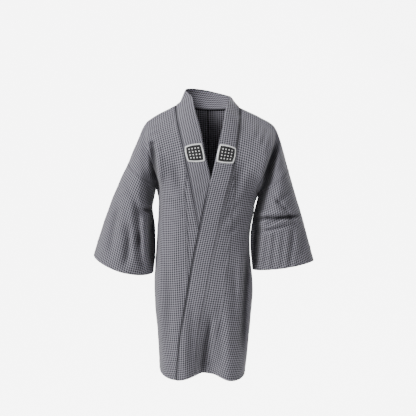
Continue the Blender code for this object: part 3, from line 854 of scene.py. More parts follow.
def line_run(line):
    """Distance travelled along a line of points."""
    return np.concatenate([[0], np.cumsum(np.linalg.norm(np.diff(line, axis=0), axis=1))])


def point_at(line, run, distance):
    """The point of a line at a distance along it."""
    return np.array([np.interp(distance, run, line[:, k]) for k in range(3)])


def lengthwise(points, count):
    """The same curve with points at the given number of even steps."""
    points = np.array(points)
    run = line_run(points)
    return [point_at(points, run, distance) for distance in np.linspace(0, run[-1], count)]


def neck_gap(side, share):
    """The seam's gap, turned from the chest's level to upright behind the neck."""
    turn = min(1.0, share / NECK_TURN) * math.pi / 2
    return NECK_SEAM * np.array([-SIGN[side] * math.cos(turn), 0, math.sin(turn)])


def crowned(rows, side):
    """Rounds the collar across its width, outwards."""
    result = []
    for index, row in enumerate(rows):
        before = rows[max(index - 1, 0)]
        after = rows[min(index + 1, len(rows) - 1)]
        along = after[2] - before[2]
        normal = np.cross(along, row[-1] - row[0]) * SIGN[side]
        normal = normal / np.linalg.norm(normal)
        line = []
        for column, point in enumerate(row):
            part = column / COLLAR_COLUMNS
            line.append(point + normal * COLLAR_CROWN * 4 * part * (1 - part))
        result.append(line)
    return result


print("collar rows a side:", len(collar_half("left")))

# %% [markdown]
# Those rows lie two or three centimetres apart, which is right for the shape and too coarse for folds.
# Each grid is read again at closer places, on smooth curves in both directions. Near a seam and near a
# hem the places crowd together, because the cloth turns in sharply there.

# %% Finer grids
ROWS_BETWEEN = 6         # how often each gap between two rows is read again
COLUMNS_BETWEEN = 4
EDGE_PLACES = (0.05, 0.12, 0.22, 0.34)  # and the further places in the gap beside an edge


def close_places(count, between, crowd=(True, True)):
    """Fractional indices through count rows, crowded at the ends that crowd names."""
    places = set(np.round(np.linspace(0, count - 1, (count - 1) * between + 1), 5))
    if crowd[0]:
        places |= set(EDGE_PLACES)
    if crowd[1]:
        places |= {count - 1 - place for place in EDGE_PLACES}
    return np.array(sorted(places))


def read_along(values, places):
    """The values of the first axis on a smooth curve, at fractional indices."""
    values = np.asarray(values, float)
    slopes = np.gradient(values, axis=0)
    low = np.clip(places.astype(int), 0, len(values) - 2)
    t = (places - low).reshape(-1, *[1] * (values.ndim - 1))
    return ((2 * t**3 - 3 * t**2 + 1) * values[low] + (t**3 - 2 * t**2 + t) * slopes[low]
            + (3 * t**2 - 2 * t**3) * values[low + 1] + (t**3 - t**2) * slopes[low + 1])


def read_across(grid, places):
    """The same across a grid's columns."""
    return np.swapaxes(read_along(np.swapaxes(grid, 0, 1), places), 0, 1)


def run_along(points, axis):
    """Distance travelled along an axis of a grid of points."""
    steps = np.linalg.norm(np.diff(points, axis=axis), axis=2)
    start = np.zeros_like(np.take(steps, [0], axis=axis))
    return np.concatenate([start, np.cumsum(steps, axis=axis)], axis=axis)


def grid_normals(points):
    across = np.gradient(points, axis=1)
    down = np.gradient(points, axis=0)
    normals = np.cross(down, across)
    return normals / np.maximum(np.linalg.norm(normals, axis=2, keepdims=True), 1e-9)


row_places = close_places(SHOULDER_ROWS + SKIRT_ROWS + 1, ROWS_BETWEEN, (False, True))
print("rows of a panel:", len(row_places))

# %% [markdown]
# Folds make cloth look like cloth. Each one here is a soft trough with a raised lip on both sides, drawn
# along a bowed line with its own width and depth, where the photograph shows one. The back has
# its own, of the same kind, since nobody has pictured it. A fold is pressed straight in from the front or
# the back, by the place alone, so it runs on over a seam without a step. It fades towards the side edge
# of the coat, so front and back folds never meet in a ridge. Its bottom is also painted with a darker
# shade.

# %% Fold tables
FRONT_FOLDS = (
    # x,     z,      x end,  z end,  bow,    width,  depth
    (-0.203, -0.100, -0.176, -0.330, 0.004, 0.010, 0.0120),
    (-0.196, -0.195, -0.196, -0.400, -0.004, 0.018, 0.0085),
    (-0.197, -0.345, -0.186, -0.585, 0.004, 0.014, 0.0150),
    (-0.222, -0.362, -0.190, -0.372, 0.002, 0.006, 0.0070),
    (-0.238, -0.352, -0.183, -0.380, 0.004, 0.009, 0.0042),
    (-0.250, -0.300, -0.238, -0.520, 0.010, 0.011, 0.0066),
    (-0.232, -0.420, -0.208, -0.590, -0.006, 0.010, 0.0060),
    (-0.272, -0.383, -0.280, -0.580, 0.008, 0.012, 0.0050),
    (-0.300, -0.325, -0.334, -0.550, -0.006, 0.013, 0.0044),
    (-0.286, -0.262, -0.240, -0.330, -0.006, 0.009, 0.0022),
    (0.241, -0.080, 0.160, -0.430, -0.010, 0.011, 0.0130),
    (0.226, -0.190, 0.186, -0.400, -0.008, 0.018, 0.0070),
    (0.170, -0.350, 0.166, -0.580, 0.002, 0.013, 0.0140),
    (0.150, -0.384, 0.335, -0.364, 0.004, 0.008, 0.0105),
    (0.184, -0.404, 0.250, -0.378, 0.003, 0.007, 0.0060),
    (0.210, -0.290, 0.290, -0.366, -0.004, 0.007, 0.0050),
    (0.262, -0.352, 0.312, -0.398, -0.004, 0.007, 0.0034),
    (0.200, -0.400, 0.196, -0.580, 0.003, 0.008, 0.0050),
    (0.229, -0.400, 0.227, -0.580, -0.003, 0.009, 0.0036),
    (0.252, -0.400, 0.258, -0.580, 0.004, 0.010, 0.0020),
    (0.292, -0.385, 0.286, -0.580, -0.004, 0.009, 0.0040),
    (0.318, -0.385, 0.326, -0.520, 0.004, 0.011, 0.0026),
    (0.288, -0.250, 0.214, -0.338, 0.006, 0.010, 0.0026),
    (-0.212, -0.094, -0.166, -0.074, 0.002, 0.006, 0.0026),
    (-0.215, -0.114, -0.164, -0.099, 0.002, 0.006, 0.0028),
    (-0.210, -0.141, -0.167, -0.133, 0.002, 0.006, 0.0024),
    (-0.190, -0.170, -0.150, -0.160, 0.002, 0.007, 0.0016),
    (0.169, -0.046, 0.148, -0.118, 0.002, 0.007, 0.0026),
    (0.189, -0.062, 0.168, -0.142, 0.002, 0.007, 0.0030),
    (0.207, -0.088, 0.190, -0.176, -0.002, 0.007, 0.0022),
    (-0.127, -0.018, -0.125, -0.075, 0.001, 0.005, 0.0026),
    (0.098, -0.008, 0.099, -0.070, 0.001, 0.005, 0.0028),
    (-0.160, -0.150, -0.072, -0.386, 0.012, 0.016, 0.0030),
    (-0.130, -0.120, -0.100, -0.300, 0.006, 0.014, 0.0016),
    (0.140, -0.150, 0.064, -0.384, -0.012, 0.016, 0.0030),
    (0.116, -0.110, 0.092, -0.290, -0.004, 0.013, 0.0016),
    (-0.148, -0.310, -0.060, -0.400, 0.008, 0.012, 0.0022),
    (0.128, -0.310, 0.040, -0.410, -0.008, 0.013, 0.0022),
    (-0.145, -0.380, -0.050, -0.436, 0.006, 0.010, 0.0018),
    (0.136, -0.372, 0.060, -0.440, -0.004, 0.010, 0.0018),
    (-0.138, -0.470, -0.146, -0.900, 0.010, 0.016, 0.0034),
    (-0.112, -0.560, -0.108, -0.930, -0.006, 0.014, 0.0022),
    (-0.050, -0.620, -0.048, -0.930, 0.008, 0.013, 0.0026),
    (0.030, -0.680, -0.003, -0.970, -0.006, 0.011, 0.0070),
    (0.046, -0.640, 0.058, -0.930, 0.006, 0.014, 0.0030),
    (0.085, -0.500, 0.116, -0.900, 0.010, 0.016, 0.0034),
    (0.146, -0.400, 0.141, -0.900, -0.006, 0.012, 0.0100),
)
BACK_FOLDS = (
    (-0.170, -0.110, -0.120, -0.330, 0.010, 0.015, 0.0058),
    (0.168, -0.112, 0.118, -0.340, -0.012, 0.014, 0.0058),
    (-0.110, -0.160, -0.070, -0.380, 0.006, 0.016, 0.0037),
    (0.104, -0.150, 0.060, -0.360, -0.006, 0.015, 0.0041),
    (-0.150, -0.340, -0.040, -0.430, 0.010, 0.012, 0.0044),
    (0.146, -0.350, 0.030, -0.446, -0.010, 0.013, 0.0044),
    (-0.134, -0.400, -0.020, -0.490, 0.010, 0.012, 0.0034),
    (0.130, -0.410, 0.040, -0.500, -0.006, 0.011, 0.0034),
    (-0.128, -0.520, -0.136, -0.930, 0.008, 0.017, 0.0061),
    (-0.076, -0.600, -0.070, -0.930, -0.008, 0.015, 0.0048),
    (-0.026, -0.560, -0.034, -0.930, 0.006, 0.016, 0.0058),
    (0.040, -0.610, 0.032, -0.930, 0.008, 0.014, 0.0044),
    (0.084, -0.540, 0.096, -0.930, -0.008, 0.016, 0.0061),
    (0.132, -0.580, 0.138, -0.930, 0.006, 0.014, 0.0044),
    (-0.244, -0.352, -0.196, -0.384, 0.004, 0.010, 0.0068),
    (-0.250, -0.380, -0.262, -0.560, 0.006, 0.012, 0.0058),
    (-0.296, -0.340, -0.322, -0.540, -0.006, 0.013, 0.0051),
    (-0.214, -0.420, -0.210, -0.570, 0.004, 0.009, 0.0051),
    (0.168, -0.380, 0.290, -0.364, -0.004, 0.008, 0.0068),
    (0.206, -0.392, 0.212, -0.545, 0.004, 0.010, 0.0054),
    (0.246, -0.388, 0.252, -0.545, -0.004, 0.010, 0.0058),
    (0.296, -0.372, 0.310, -0.530, 0.006, 0.012, 0.0051),
)
print("folds:", len(FRONT_FOLDS) + len(BACK_FOLDS))

# %% [markdown]
# A fold's section is a round trough. The cloth that it takes up rises again as a low lip on either side.
# Both fade out towards the fold's two ends, so none of them starts or stops with an edge.

# %% Folds pressed in
LIP_PLACE = 1.9          # where a fold's lip lies, in widths from its line
LIP_WIDTH = 0.9          # how wide it is, in the same widths
LIP_HEIGHT = 0.26        # and how high, against the fold's depth
FADE_SHARE = 0.3         # share of a fold's length over which it fades in and out
FOLD_STRENGTH = 1.5      # by which every depth in the tables is multiplied
DEEP_FOLD = 0.016        # depth at which a fold has its full shade
CREASE_SHADE = 0.85      # shade of the deepest folds
FOLD_ROOM = 0.022        # distance from the coat's side over which the folds fade out
UNEVEN = 0.00045         # rise and fall of the cloth between the folds


def ease(share):
    share = np.clip(share, 0, 1)
    return share * share * (3 - 2 * share)


def fold_depth(x, z, folds):
    """How far the folds press the cloth in at each x and z."""
    total = np.zeros_like(x)
    for x0, z0, x1, z1, bow, width, depth in folds:
        run = np.array([x1 - x0, z1 - z0])
        length = np.linalg.norm(run)
        along = ((x - x0) * run[0] + (z - z0) * run[1]) / length**2
        bowed = bow * 4 * along * (1 - along)
        off = np.abs(((z - z0) * run[0] - (x - x0) * run[1]) / length - bowed) / width
        fade = ease(along / FADE_SHARE) * ease((1 - along) / FADE_SHARE)
        trough = np.exp(-off**2) - LIP_HEIGHT * np.exp(-((off - LIP_PLACE) / LIP_WIDTH)**2)
        total += depth * fade * trough
    return total


def uneven(x, z):
    """The slight rise and fall of washed cotton that no single fold explains."""
    return UNEVEN * (np.sin(61 * x + 23 * z + 0.6) * np.sin(41 * z - 17 * x)
                     + 0.7 * np.sin(97 * x - 38 * z + 2.1) * np.sin(73 * z + 1.2))


def folded(points, outward):
    """The grid with its folds pressed in, and the shade that lies in them.

    outward is 1 where the grid's normals point out, else -1."""
    x, y, z = np.moveaxis(points, -1, 0)
    front = FOLD_STRENGTH * fold_depth(x, z, FRONT_FOLDS) * ease(-y / FOLD_ROOM)
    back = FOLD_STRENGTH * fold_depth(x, z, BACK_FOLDS) * ease(y / FOLD_ROOM)
    moved = points - grid_normals(points) * (outward * uneven(x, z))[..., None]
    moved[..., 1] += front - back
    return moved, CREASE_SHADE * ease((front + back) / DEEP_FOLD)


deepest = fold_depth(*np.meshgrid(np.linspace(-0.4, 0.4, 161), np.linspace(-0.9, 0, 181)), FRONT_FOLDS)
print("deepest front fold, mm:", round(1000 * FOLD_STRENGTH * float(deepest.max()), 1))

# %% [markdown]
# A seam shows as a thin shadow, because both pieces turn in towards it. Every edge of a grid that is sewn
# gets this small turn, by its distance from the edge, and a painted shade in the material's colour, which
# short tables make stronger or weaker with the height. A hem is the same cloth folded back, so it stands
# out a little and ends in a shallow step.

# %% Turned-in seams and hems
SEAM_TURN = 0.0013       # how far a sewn edge turns in, and over what width
SEAM_REACH = 0.0032
SEAM_CLOSE = 0.00027     # how far it is drawn up to the next piece
EDGE_ROWS = {
    # edge: its own points in a grid, and the next ones inwards
    "left": (np.s_[:, 0], np.s_[:, 1]),
    "right": (np.s_[:, -1], np.s_[:, -2]),
    "top": (np.s_[0], np.s_[1]),
}
SHADE_REACH = 0.0030     # width of a seam's shade, and of the lap's
LAP_REACH = 0.0042
LAP_SAMPLES = 60
COLLAR_SHADE = {
    # height, strength of the shade along the collar's seam
    "left": ((-0.95, 0.15), (-0.45, 0.20), (-0.28, 0.45), (-0.16, 0.90), (0.10, 1.00)),
    "right": ((-0.95, 0.30), (-0.40, 0.70), (-0.30, 0.90), (-0.16, 0.90), (0.10, 1.00)),
}
LAP_SHADE = ((-0.95, 1.00), (-0.32, 1.00), (-0.27, 0.60), (-0.25, 0.00))
ARMHOLE_SHADE = ((-0.95, 0.25), (-0.31, 0.25), (-0.25, 0.45), (-0.15, 0.60))
PLAIN_SHADE = ((-0.95, 0.30), (0.10, 0.40))
HEM_STEP = 0.0006        # how far the folded hem stands out
HEM_EASE = 0.004         # width of the step's slope
HEM_GROOVE = 0.00072     # depth of the line that the stitches draw in above it
GROOVE_UP = 0.002
GROOVE_REACH = 0.003
BODY_HEM = 0.022
CUFF_HEM = 0.045


def near_edge(points, edge, reach):
    """1 on an edge of the grid, falling to 0 away from it. edge is left, right or top."""
    along = run_along(points, 0 if edge == "top" else 1)
    if edge == "right":
        along = along[:, -1:] - along
    return np.exp(-(along / reach)**2)


def by_height(table, points):
    """The strengths of a table, read at each point's height. The table runs from low to high."""
    heights, strengths = zip(*table)
    return np.interp(points[..., 2], heights, strengths)


def seam_shade(points, edge, table):
    return near_edge(points, edge, SHADE_REACH) * by_height(table, points)


def lap_shade(points):
    """The painted shadow line on the right front, along the free edge of the left one."""
    heights = np.linspace(LEFT_FRONT[-1][0], 0, LAP_SAMPLES)
    free = [read(LEFT_FRONT, z)[0] for z in heights]
    off = points[..., 0] - np.interp(points[..., 2], heights, free)
    return np.exp(-(off / LAP_REACH)**2) * by_height(LAP_SHADE, points)


def turned_in(points, outward, edges):
    """Presses the grid in along its sewn edges, and draws them up to the next piece."""
    depth = np.minimum(sum(near_edge(points, edge, SEAM_REACH) for edge in edges), 1)
    moved = points - grid_normals(points) * outward * (SEAM_TURN * depth)[..., None]
    for edge in edges:
        rim, inner = EDGE_ROWS[edge]
        away = moved[rim] - moved[inner]
        moved[rim] += away / np.linalg.norm(away, axis=-1, keepdims=True) * SEAM_CLOSE
    return moved


def above_hem(points):
    """Each point's distance from the grid's bottom edge, along the cloth."""
    down = run_along(points, 0)
    return down[-1:] - down


def hemmed(points, outward, height):
    """Lifts the strip above the bottom edge by the thickness of the cloth folded back inside."""
    above = above_hem(points) - height
    lift = HEM_STEP * (1 - ease(above / HEM_EASE))
    groove = HEM_GROOVE * np.exp(-((above - GROOVE_UP) / GROOVE_REACH)**2)
    return points + grid_normals(points) * outward * (lift - groove)[..., None]


def join(first, second):
    """Puts two lines of points, each a part of its grid, halfway between them."""
    first[:] = second[:] = (first + second) / 2


print("seam turn:", SEAM_TURN)

# %% [markdown]
# The check belongs to the cloth, not to the room: it runs straight along each cut strip and bends with
# the fabric. So every grid carries the distances along its own width and length as a UV map, in metres,
# and the material draws its threads on those. One function turns grids into a mesh, welds them where they
# meet, turns the faces outwards and adds the cloth's thickness on the inside.

# %% From grids to cloth
WELD = 0.00002           # points closer than this become one
pieces = {}


def cloth_piece(name, sheets, thickness, finish, spot):
    """sheets hold a grid of points, a grid of places in the cloth and a grid of painted shade for seams,
    laps and fold bottoms.

    The face nearest to spot is made to face the front."""
    corners = []
    faces = []
    places = []
    painted_shades = []
    for points, cloth, close in sheets:
        rows, columns = points.shape[:2]
        index = len(corners) + np.arange(rows * columns).reshape(rows, columns)
        corners.extend(points.reshape(-1, 3).tolist())
        places.extend(cloth.reshape(-1, 2).tolist())
        painted_shades.extend(close.ravel().tolist())
        quads = np.stack([index[:-1, :-1], index[:-1, 1:], index[1:, 1:], index[1:, :-1]], axis=-1)
        faces.extend(quads.reshape(-1, 4).tolist())
    mesh = bpy.data.meshes.new(name)
    mesh.from_pydata(corners, [], faces)
    layer = mesh.uv_layers.new(name="cloth")
    loops = np.empty(len(mesh.loops), int)
    mesh.loops.foreach_get("vertex_index", loops)
    layer.data.foreach_set("uv", np.array(places, float)[loops].ravel())
    # The seam attribute holds painted shade: seams, the lap's edge and fold bottoms drawn darker.
    mesh.attributes.new("seam", "FLOAT", "POINT").data.foreach_set("value", np.clip(painted_shades, 0, 1))
    work = bmesh.new()
    work.from_mesh(mesh)
    bmesh.ops.remove_doubles(work, verts=work.verts, dist=WELD)
    bmesh.ops.recalc_face_normals(work, faces=work.faces)
    target = Vector(spot)
    nearest = min(work.faces, key=lambda face: (face.calc_center_median() - target).length_squared)
    if nearest.normal.y > 0:
        bmesh.ops.reverse_faces(work, faces=work.faces)
    work.to_mesh(mesh)
    work.free()
    mesh.shade_smooth()
    mesh.materials.append(finish)
    pieces[name] = place_object(name, mesh)
    wall = pieces[name].modifiers.new("wall", "SOLIDIFY")
    wall.thickness = thickness
    wall.offset = -1
    print(name, len(mesh.polygons), "faces")


# %% [markdown]
# Now the cloth itself. It is a plain weave in which dark and light threads take turns, a few at a time,
# both along and across. Light over light makes a white square, dark over dark a black one, and a mixed
# crossing is grey. From a few steps away the eye sees fine lines that follow the cloth, and the coat looks
# grey. The group below draws a band for each direction, with slightly soft edges, adds the two, and puts
# out the height of the threads as well. Short helpers come first, for the nodes that appear most.

# %% Check and weave group
def new_group(name, inputs, outputs):
    """A shader group with its named inputs and outputs. Returns it and what it is given."""
    group = bpy.data.node_groups.new(name, "ShaderNodeTree")
    for label, kind, value in inputs:
        socket = group.interface.new_socket(label, in_out="INPUT", socket_type="NodeSocket" + kind)
        if value is not None:
            socket.default_value = value
    for label, kind in outputs:
        group.interface.new_socket(label, in_out="OUTPUT", socket_type="NodeSocket" + kind)
    return group, add_node(group, "NodeGroupInput").outputs


def reckon(tree, operation, *values):
    """The result of a Math node."""
    return add_node(tree, "ShaderNodeMath", enumerate(values), operation=operation).outputs[0]


def mix_colour(tree, factor, first, second, blend="MIX"):
    mix = add_node(tree, "ShaderNodeMix", {"Factor": factor}, data_type="RGBA", blend_type=blend)
    feed(tree, mix, {6: first, 7: second})
    return mix.outputs[2]


def noise_value(tree, place, scale, detail=2.0):
    values = {"Vector": place, "Scale": scale, "Detail": detail}
    return add_node(tree, "ShaderNodeTexNoise", values).outputs["Fac"]


def wave(tree, place, width):
    """Rises and falls in turn, over a width each."""
    return reckon(tree, "SINE", reckon(tree, "MULTIPLY", reckon(tree, "DIVIDE", place, width), math.pi))


CREEP = 0.12             # softness of a band's edge
ALONG_SHARE = 0.56       # weight of the bands that run along the cloth


def check_group():
    group, given = new_group(
        "fine_check",
        [("Place", "Vector", None), ("Square", "Float", 0.005), ("Thread", "Float", 0.0006),
         ("Dark", "Color", (0.02, 0.02, 0.03, 1)), ("Light", "Color", (0.6, 0.6, 0.6, 1))],
        [("Color", "Color"), ("Height", "Float")])
    parts = add_node(group, "ShaderNodeSeparateXYZ", {0: given["Place"]}).outputs
    bands = []
    threads = []
    for axis, weight in ((0, ALONG_SHARE), (1, 1 - ALONG_SHARE)):
        values = {"Value": wave(group, parts[axis], given["Square"]), "From Min": -CREEP,
                  "From Max": CREEP, "To Max": weight}
        bands.append(add_node(group, "ShaderNodeMapRange", values).outputs["Result"])
        threads.append(wave(group, parts[axis], given["Thread"]))
    check = mix_colour(group, reckon(group, "ADD", *bands), given["Dark"], given["Light"])
    weave = reckon(group, "ABSOLUTE", reckon(group, "MULTIPLY", *threads))
    add_node(group, "NodeGroupOutput", {"Color": check, "Height": weave})
    return group


check = check_group()
print("check group:", len(check.nodes), "nodes")

# %% [markdown]
# Washed cotton is never one even tone. A second group gives a slow, faint change of shade over the whole
# garment, and short streaks where a thread is thicker. Both stay within a few percent, because the
# photograph shows clean cloth.

# %% Shade group
def shade_group():
    group, given = new_group(
        "washed_shade",
        [("Color", "Color", None), ("Place", "Vector", None), ("Cloth", "Vector", None),
         ("Amount", "Float", 0.12)],
        [("Color", "Color"), ("Slub", "Float")])
    slow = noise_value(group, given["Place"], 7.0, 3.0)
    streaks = []
    for scale in ((60, 900, 1), (900, 60, 1)):
        stretch = add_node(group, "ShaderNodeMapping", {"Vector": given["Cloth"], "Scale": scale})
        streaks.append(noise_value(group, stretch.outputs[0], 1.0, 1.0))
    slub = reckon(group, "ADD", *streaks)
    tone = reckon(group, "ADD", slow, reckon(group, "MULTIPLY", slub, 0.5))
    swing = reckon(group, "MULTIPLY", reckon(group, "SUBTRACT", tone, 1.0), given["Amount"])
    gain = reckon(group, "ADD", swing, 1.0)
    grey = add_node(group, "ShaderNodeCombineColor", {0: gain, 1: gain, 2: gain})
    shaded = mix_colour(group, 1.0, given["Color"], grey.outputs[0], "MULTIPLY")
    add_node(group, "NodeGroupOutput", {"Color": shaded, "Slub": slub})
    return group


shade = shade_group()
print("shade group:", len(shade.nodes), "nodes")

# %% [markdown]
# The material joins the two groups. Then it paints shade into the cloth's colour where the seam attribute
# says that a seam, an overlap or the bottom of a fold lies close. The threads' height goes through a Bump
# node, and the soft edge glow of cotton comes from the shader's own sheen, which is the same everywhere
# and so is set on its socket.

# %% Checked cotton
SQUARE = 0.0039          # width of one band of the check
THREAD_PITCH = 0.00055
THREAD_HEIGHT = 0.0002
DARK_THREAD = (0.006, 0.006, 0.009, 1)
LIGHT_THREAD = (0.272, 0.262, 0.306, 1)
# painted shade: the strongest mix towards the dark thread, at seams, laps and fold bottoms
PAINTED_SHADE_DARK = 0.97         # how dark the closest part of a seam gets


def cloth_places(tree):
    """The cloth's UV map, in metres along and across the strip."""
    return add_node(tree, "ShaderNodeUVMap", uv_map="cloth").outputs["UV"]


def washed(tree, colour, cloth):
    """The shade group, placed in a material over a colour."""
    place = add_node(tree, "ShaderNodeTexCoord").outputs["Object"]
    values = {"Color": colour, "Place": place, "Cloth": cloth}
    return add_node(tree, "ShaderNodeGroup", values, node_tree=shade).outputs


def bumped(tree, height, strength):
    """The normals of threads that stand up a little."""
    values = {"Strength": strength, "Distance": THREAD_HEIGHT, "Height": height}
    return add_node(tree, "ShaderNodeBump", values).outputs["Normal"]


def checked_cotton(name, dark, light):
    material, tree, shader = new_material(name)
    cloth = cloth_places(tree)
    values = {"Place": cloth, "Square": SQUARE, "Thread": THREAD_PITCH, "Dark": dark, "Light": light}
    drawn = add_node(tree, "ShaderNodeGroup", values, node_tree=check).outputs
    # Painted shade: the seam attribute mixes the colour towards the dark thread.
    seam = add_node(tree, "ShaderNodeAttribute", attribute_name="seam").outputs["Fac"]
    painted_shade = reckon(tree, "MULTIPLY", seam, PAINTED_SHADE_DARK)
    tone = mix_colour(tree, painted_shade, washed(tree, drawn["Color"], cloth)["Color"], dark)
    feed(tree, shader, {"Base Color": tone, "Normal": bumped(tree, drawn["Height"], 0.5),
                        "Roughness": 0.86, "Specular IOR Level": 0.25, "Sheen Weight": 0.18,
                        "Sheen Roughness": 0.55})
    return material


cotton = checked_cotton("check_cotton", DARK_THREAD, LIGHT_THREAD)
print("material:", cotton.name)

# %% [markdown]
# A body panel is one strip of cloth that runs from the front hem over the shoulder to the back hem. The
# columns that front and back share are read as one long line, so the shoulder stays round, and then the
# line is cut at the top again. The check starts at the corner of the neck and runs straight down the
# front edge, where a maker lays the strip's woven edge, so it turns with that edge on the chest.

# %% Body panels
BODY_WALL = 0.0012
SHARED = len(FRONT_STEPS)
LEVEL = 0.5              # share of the shoulder's slope that the check has taken up at the armpit


def strip_places(points, armpit, first, way):
    """Places in the cloth: across from the first column, and along from the top of the shoulder."""
    across = run_along(points, 1)
    across = across - across[0, first]
    down = run_along(points, 0)
    drop = down[armpit:armpit + 1]
    slope = (drop - drop.mean()) * LEVEL * np.minimum(down / drop, 1)
    return np.stack([across, way * (down - slope)], axis=-1)


def body_grids(side):
    """The close grids of a panel's front and back, and the row of the armpit."""
    front = np.array(front_grid(side))
    back = np.array(back_grid(side))
    last = len(front) - 1
    strip = np.concatenate([back[::-1, -SHARED:], front[1:]])
    strip = read_along(strip, np.concatenate([last - row_places[::-1], last + row_places[1:]]))
    top = len(row_places) - 1
    front = strip[top:]
    back = np.concatenate([read_along(back[:, :-SHARED], row_places), strip[top::-1]], axis=1)
    armpit = int(np.argmin(np.abs(row_places - SHOULDER_ROWS)))
    join(front[armpit:, -1], back[armpit:, -1])
    inner = back.shape[1] - SHARED
    front_columns = close_places(SHARED, COLUMNS_BETWEEN)
    back_columns = close_places(back.shape[1], COLUMNS_BETWEEN)
    back_columns = np.concatenate([back_columns[back_columns < inner], inner + front_columns])
    return read_across(front, front_columns), read_across(back, back_columns), armpit


def body_piece(side):
    sign = SIGN[side]
    front, back, armpit = body_grids(side)
    inner = back.shape[1] - front.shape[1]
    sheets = []
    for points, outward, first, way in ((front, -sign, 0, 1), (back, sign, inner, -1)):
        places = strip_places(points, armpit, first, way)
        points, shade = folded(points, outward)
        # Painted shade along the sewn edges, and on the right front a painted shadow along the left one's
        # free edge.
        painted_shades = seam_shade(points, "left", COLLAR_SHADE[side] if way == 1 else PLAIN_SHADE)
        painted_shades += seam_shade(points, "right", ARMHOLE_SHADE)
        if side == "right" and way == 1:
            painted_shades += lap_shade(points)
        points = turned_in(points, outward, ("left", "right"))
        points = hemmed(points, outward, BODY_HEM)
        sheets.append((points, places, np.maximum(shade, painted_shades)))
    front, back = sheets[0][0], sheets[1][0]
    join(front[0], back[0, inner:])
    join(front[armpit:, -1], back[armpit:, -1])
    cloth_piece("body_panel_" + side, sheets, BODY_WALL, cotton, (sign * 0.12, -0.12, -0.5))
    return front, back


bodies = {side: body_piece(side) for side in SIDES}

# %% [markdown]
# Two narrow strips widen the fronts below the chest, and one long band edges both fronts and the neck.
# The band is folded double on the real coat, so it is thicker than the rest. It is a single mesh from hem
# to hem, because the real band has no join that shows.

# %% Front strips
STRIP_COLUMNS_BETWEEN = 5


def plain_places(points):
    """Places in a cloth whose check starts at the grid's first corner."""
    return np.stack([run_along(points, 1), run_along(points, 0)], axis=-1)


def strip_piece(side):
    sign = SIGN[side]
    coarse = np.array(extension_grid(side))
    points = read_along(coarse, close_places(len(coarse), ROWS_BETWEEN, (False, True)))
    points = read_across(points, close_places(coarse.shape[1], STRIP_COLUMNS_BETWEEN))
    places = plain_places(points)
    points, shade = folded(points, -sign)
    # Painted shade along the strip's seams, and on the right a painted shadow under the lap.
    shade = np.maximum(shade, seam_shade(points, "left", COLLAR_SHADE[side]))
    shade = np.maximum(shade, seam_shade(points, "right", PLAIN_SHADE))
    if side == "right":
        shade = np.maximum(shade, lap_shade(points))
    points = turned_in(points, -sign, ("left", "right"))
    points = hemmed(points, -sign, BODY_HEM)
    cloth_piece("front_strip_" + side, [(points, places, shade)], BODY_WALL, cotton,
                (0.05 * sign, -0.12, -0.6))


for side in SIDES:
    strip_piece(side)

# %% Collar
COLLAR_WALL = 0.0022
FREE_TURN = 0.0012       # how far the collar's free edge turns in, and over what width
FREE_REACH = 0.0025
TUCK = 0.0035            # width of the sewn edge inside the neck
TUCK_DROP = 0.0008       # how far it lies below the collar's face
TUCK_LEAST = 0.08        # share of both that is left down the fronts
TUCK_FROM = -0.14        # height where it starts to widen, and over how much
TUCK_RISE = 0.04
COLLAR_ROWS_BETWEEN = 7


def tucked(points):
    """Adds the sewn edge that goes inside the neck of the body, fading out down the fronts."""
    edge = points[:, 0]
    away = edge - points[:, 2]
    away = away / np.linalg.norm(away, axis=1, keepdims=True)
    share = np.maximum(ease((edge[:, 2] - TUCK_FROM) / TUCK_RISE), TUCK_LEAST)[:, None]
    return edge + share * (away * TUCK - grid_normals(points)[:, 0] * TUCK_DROP)


def collar_points():
    left = np.array(collar_half("left"))
    right = np.array(collar_half("right"))
    band = np.concatenate([left, right[::-1][1:]])
    points = read_along(band, close_places(len(band), COLLAR_ROWS_BETWEEN))
    points = read_across(points, close_places(band.shape[1], COLUMNS_BETWEEN))
    places = plain_places(points)
    points, shade = folded(points, 1)
    half = len(points) // 2
    for side, rows in (("left", slice(None, half)), ("right", slice(half, None))):
        # Painted shade along the collar's seam and along the lap's free edge.
        painted_shades = seam_shade(points[rows], "left", COLLAR_SHADE[side])
        lap = seam_shade(points[rows], "right", LAP_SHADE) if side == "left" else lap_shade(points[rows])
        shade[rows] = np.maximum(shade[rows], np.maximum(painted_shades, lap))
    points = turned_in(points, 1, ("left",))
    turn = FREE_TURN * near_edge(points, "right", FREE_REACH)
    return points - grid_normals(points) * turn[..., None], places, shade


def with_tuck(points, places, shade):
    """The three grids of the band with one more column for the sewn edge, which is painted in full shade.
    """
    return (np.concatenate([tucked(points)[:, None], points], axis=1),
            np.concatenate([places[:, :1] - (TUCK, 0), places], axis=1),
            np.concatenate([np.ones_like(shade[:, :1]), shade], axis=1))


collar_grid, collar_places, collar_shade = collar_points()
cloth_piece("collar_band", [with_tuck(collar_grid, collar_places, collar_shade)], COLLAR_WALL, cotton,
            (0.04, -0.12, -0.45))

# %% [markdown]
# The sleeves are read straight off their own formula at a close spacing, with the elbow creases of each
# arm pressed in, and then take the same folds as the body.

# %% Sleeves
SLEEVE_LENGTH = 0.325    # along the arm, from the armhole to the cuff
ARMHOLE_SEAM = 0.0005    # gap between the sleeve and the body
SLEEVE_STEPS = 76
ROUND_STEPS = 112
SLEEVE_LEAN = {
    # share along the sleeve, how far the cloth under the arm leans to the body
    "left": ((0.00, 0.0), (0.12, 0.0), (0.28, 0.0012), (0.50, 0.0006), (1.00, 0.0028)),
    "right": ((0.00, 0.0), (0.25, -0.0050), (0.45, -0.0010), (0.70, 0.0002), (1.00, 0.0032)),
}
LEAN_REACH = 40          # degrees round the sleeve


def leaned_in(side, points, shares, turns):
    """Moves the seam under the arm closer to the body, as hanging cloth leans."""
    along, lean = zip(*SLEEVE_LEAN[side])
    lean = np.interp(shares, along, lean)[:, None]
    points[..., 0] -= SIGN[side] * lean * np.exp(-((turns - 180) / LEAN_REACH)**2)
    return points


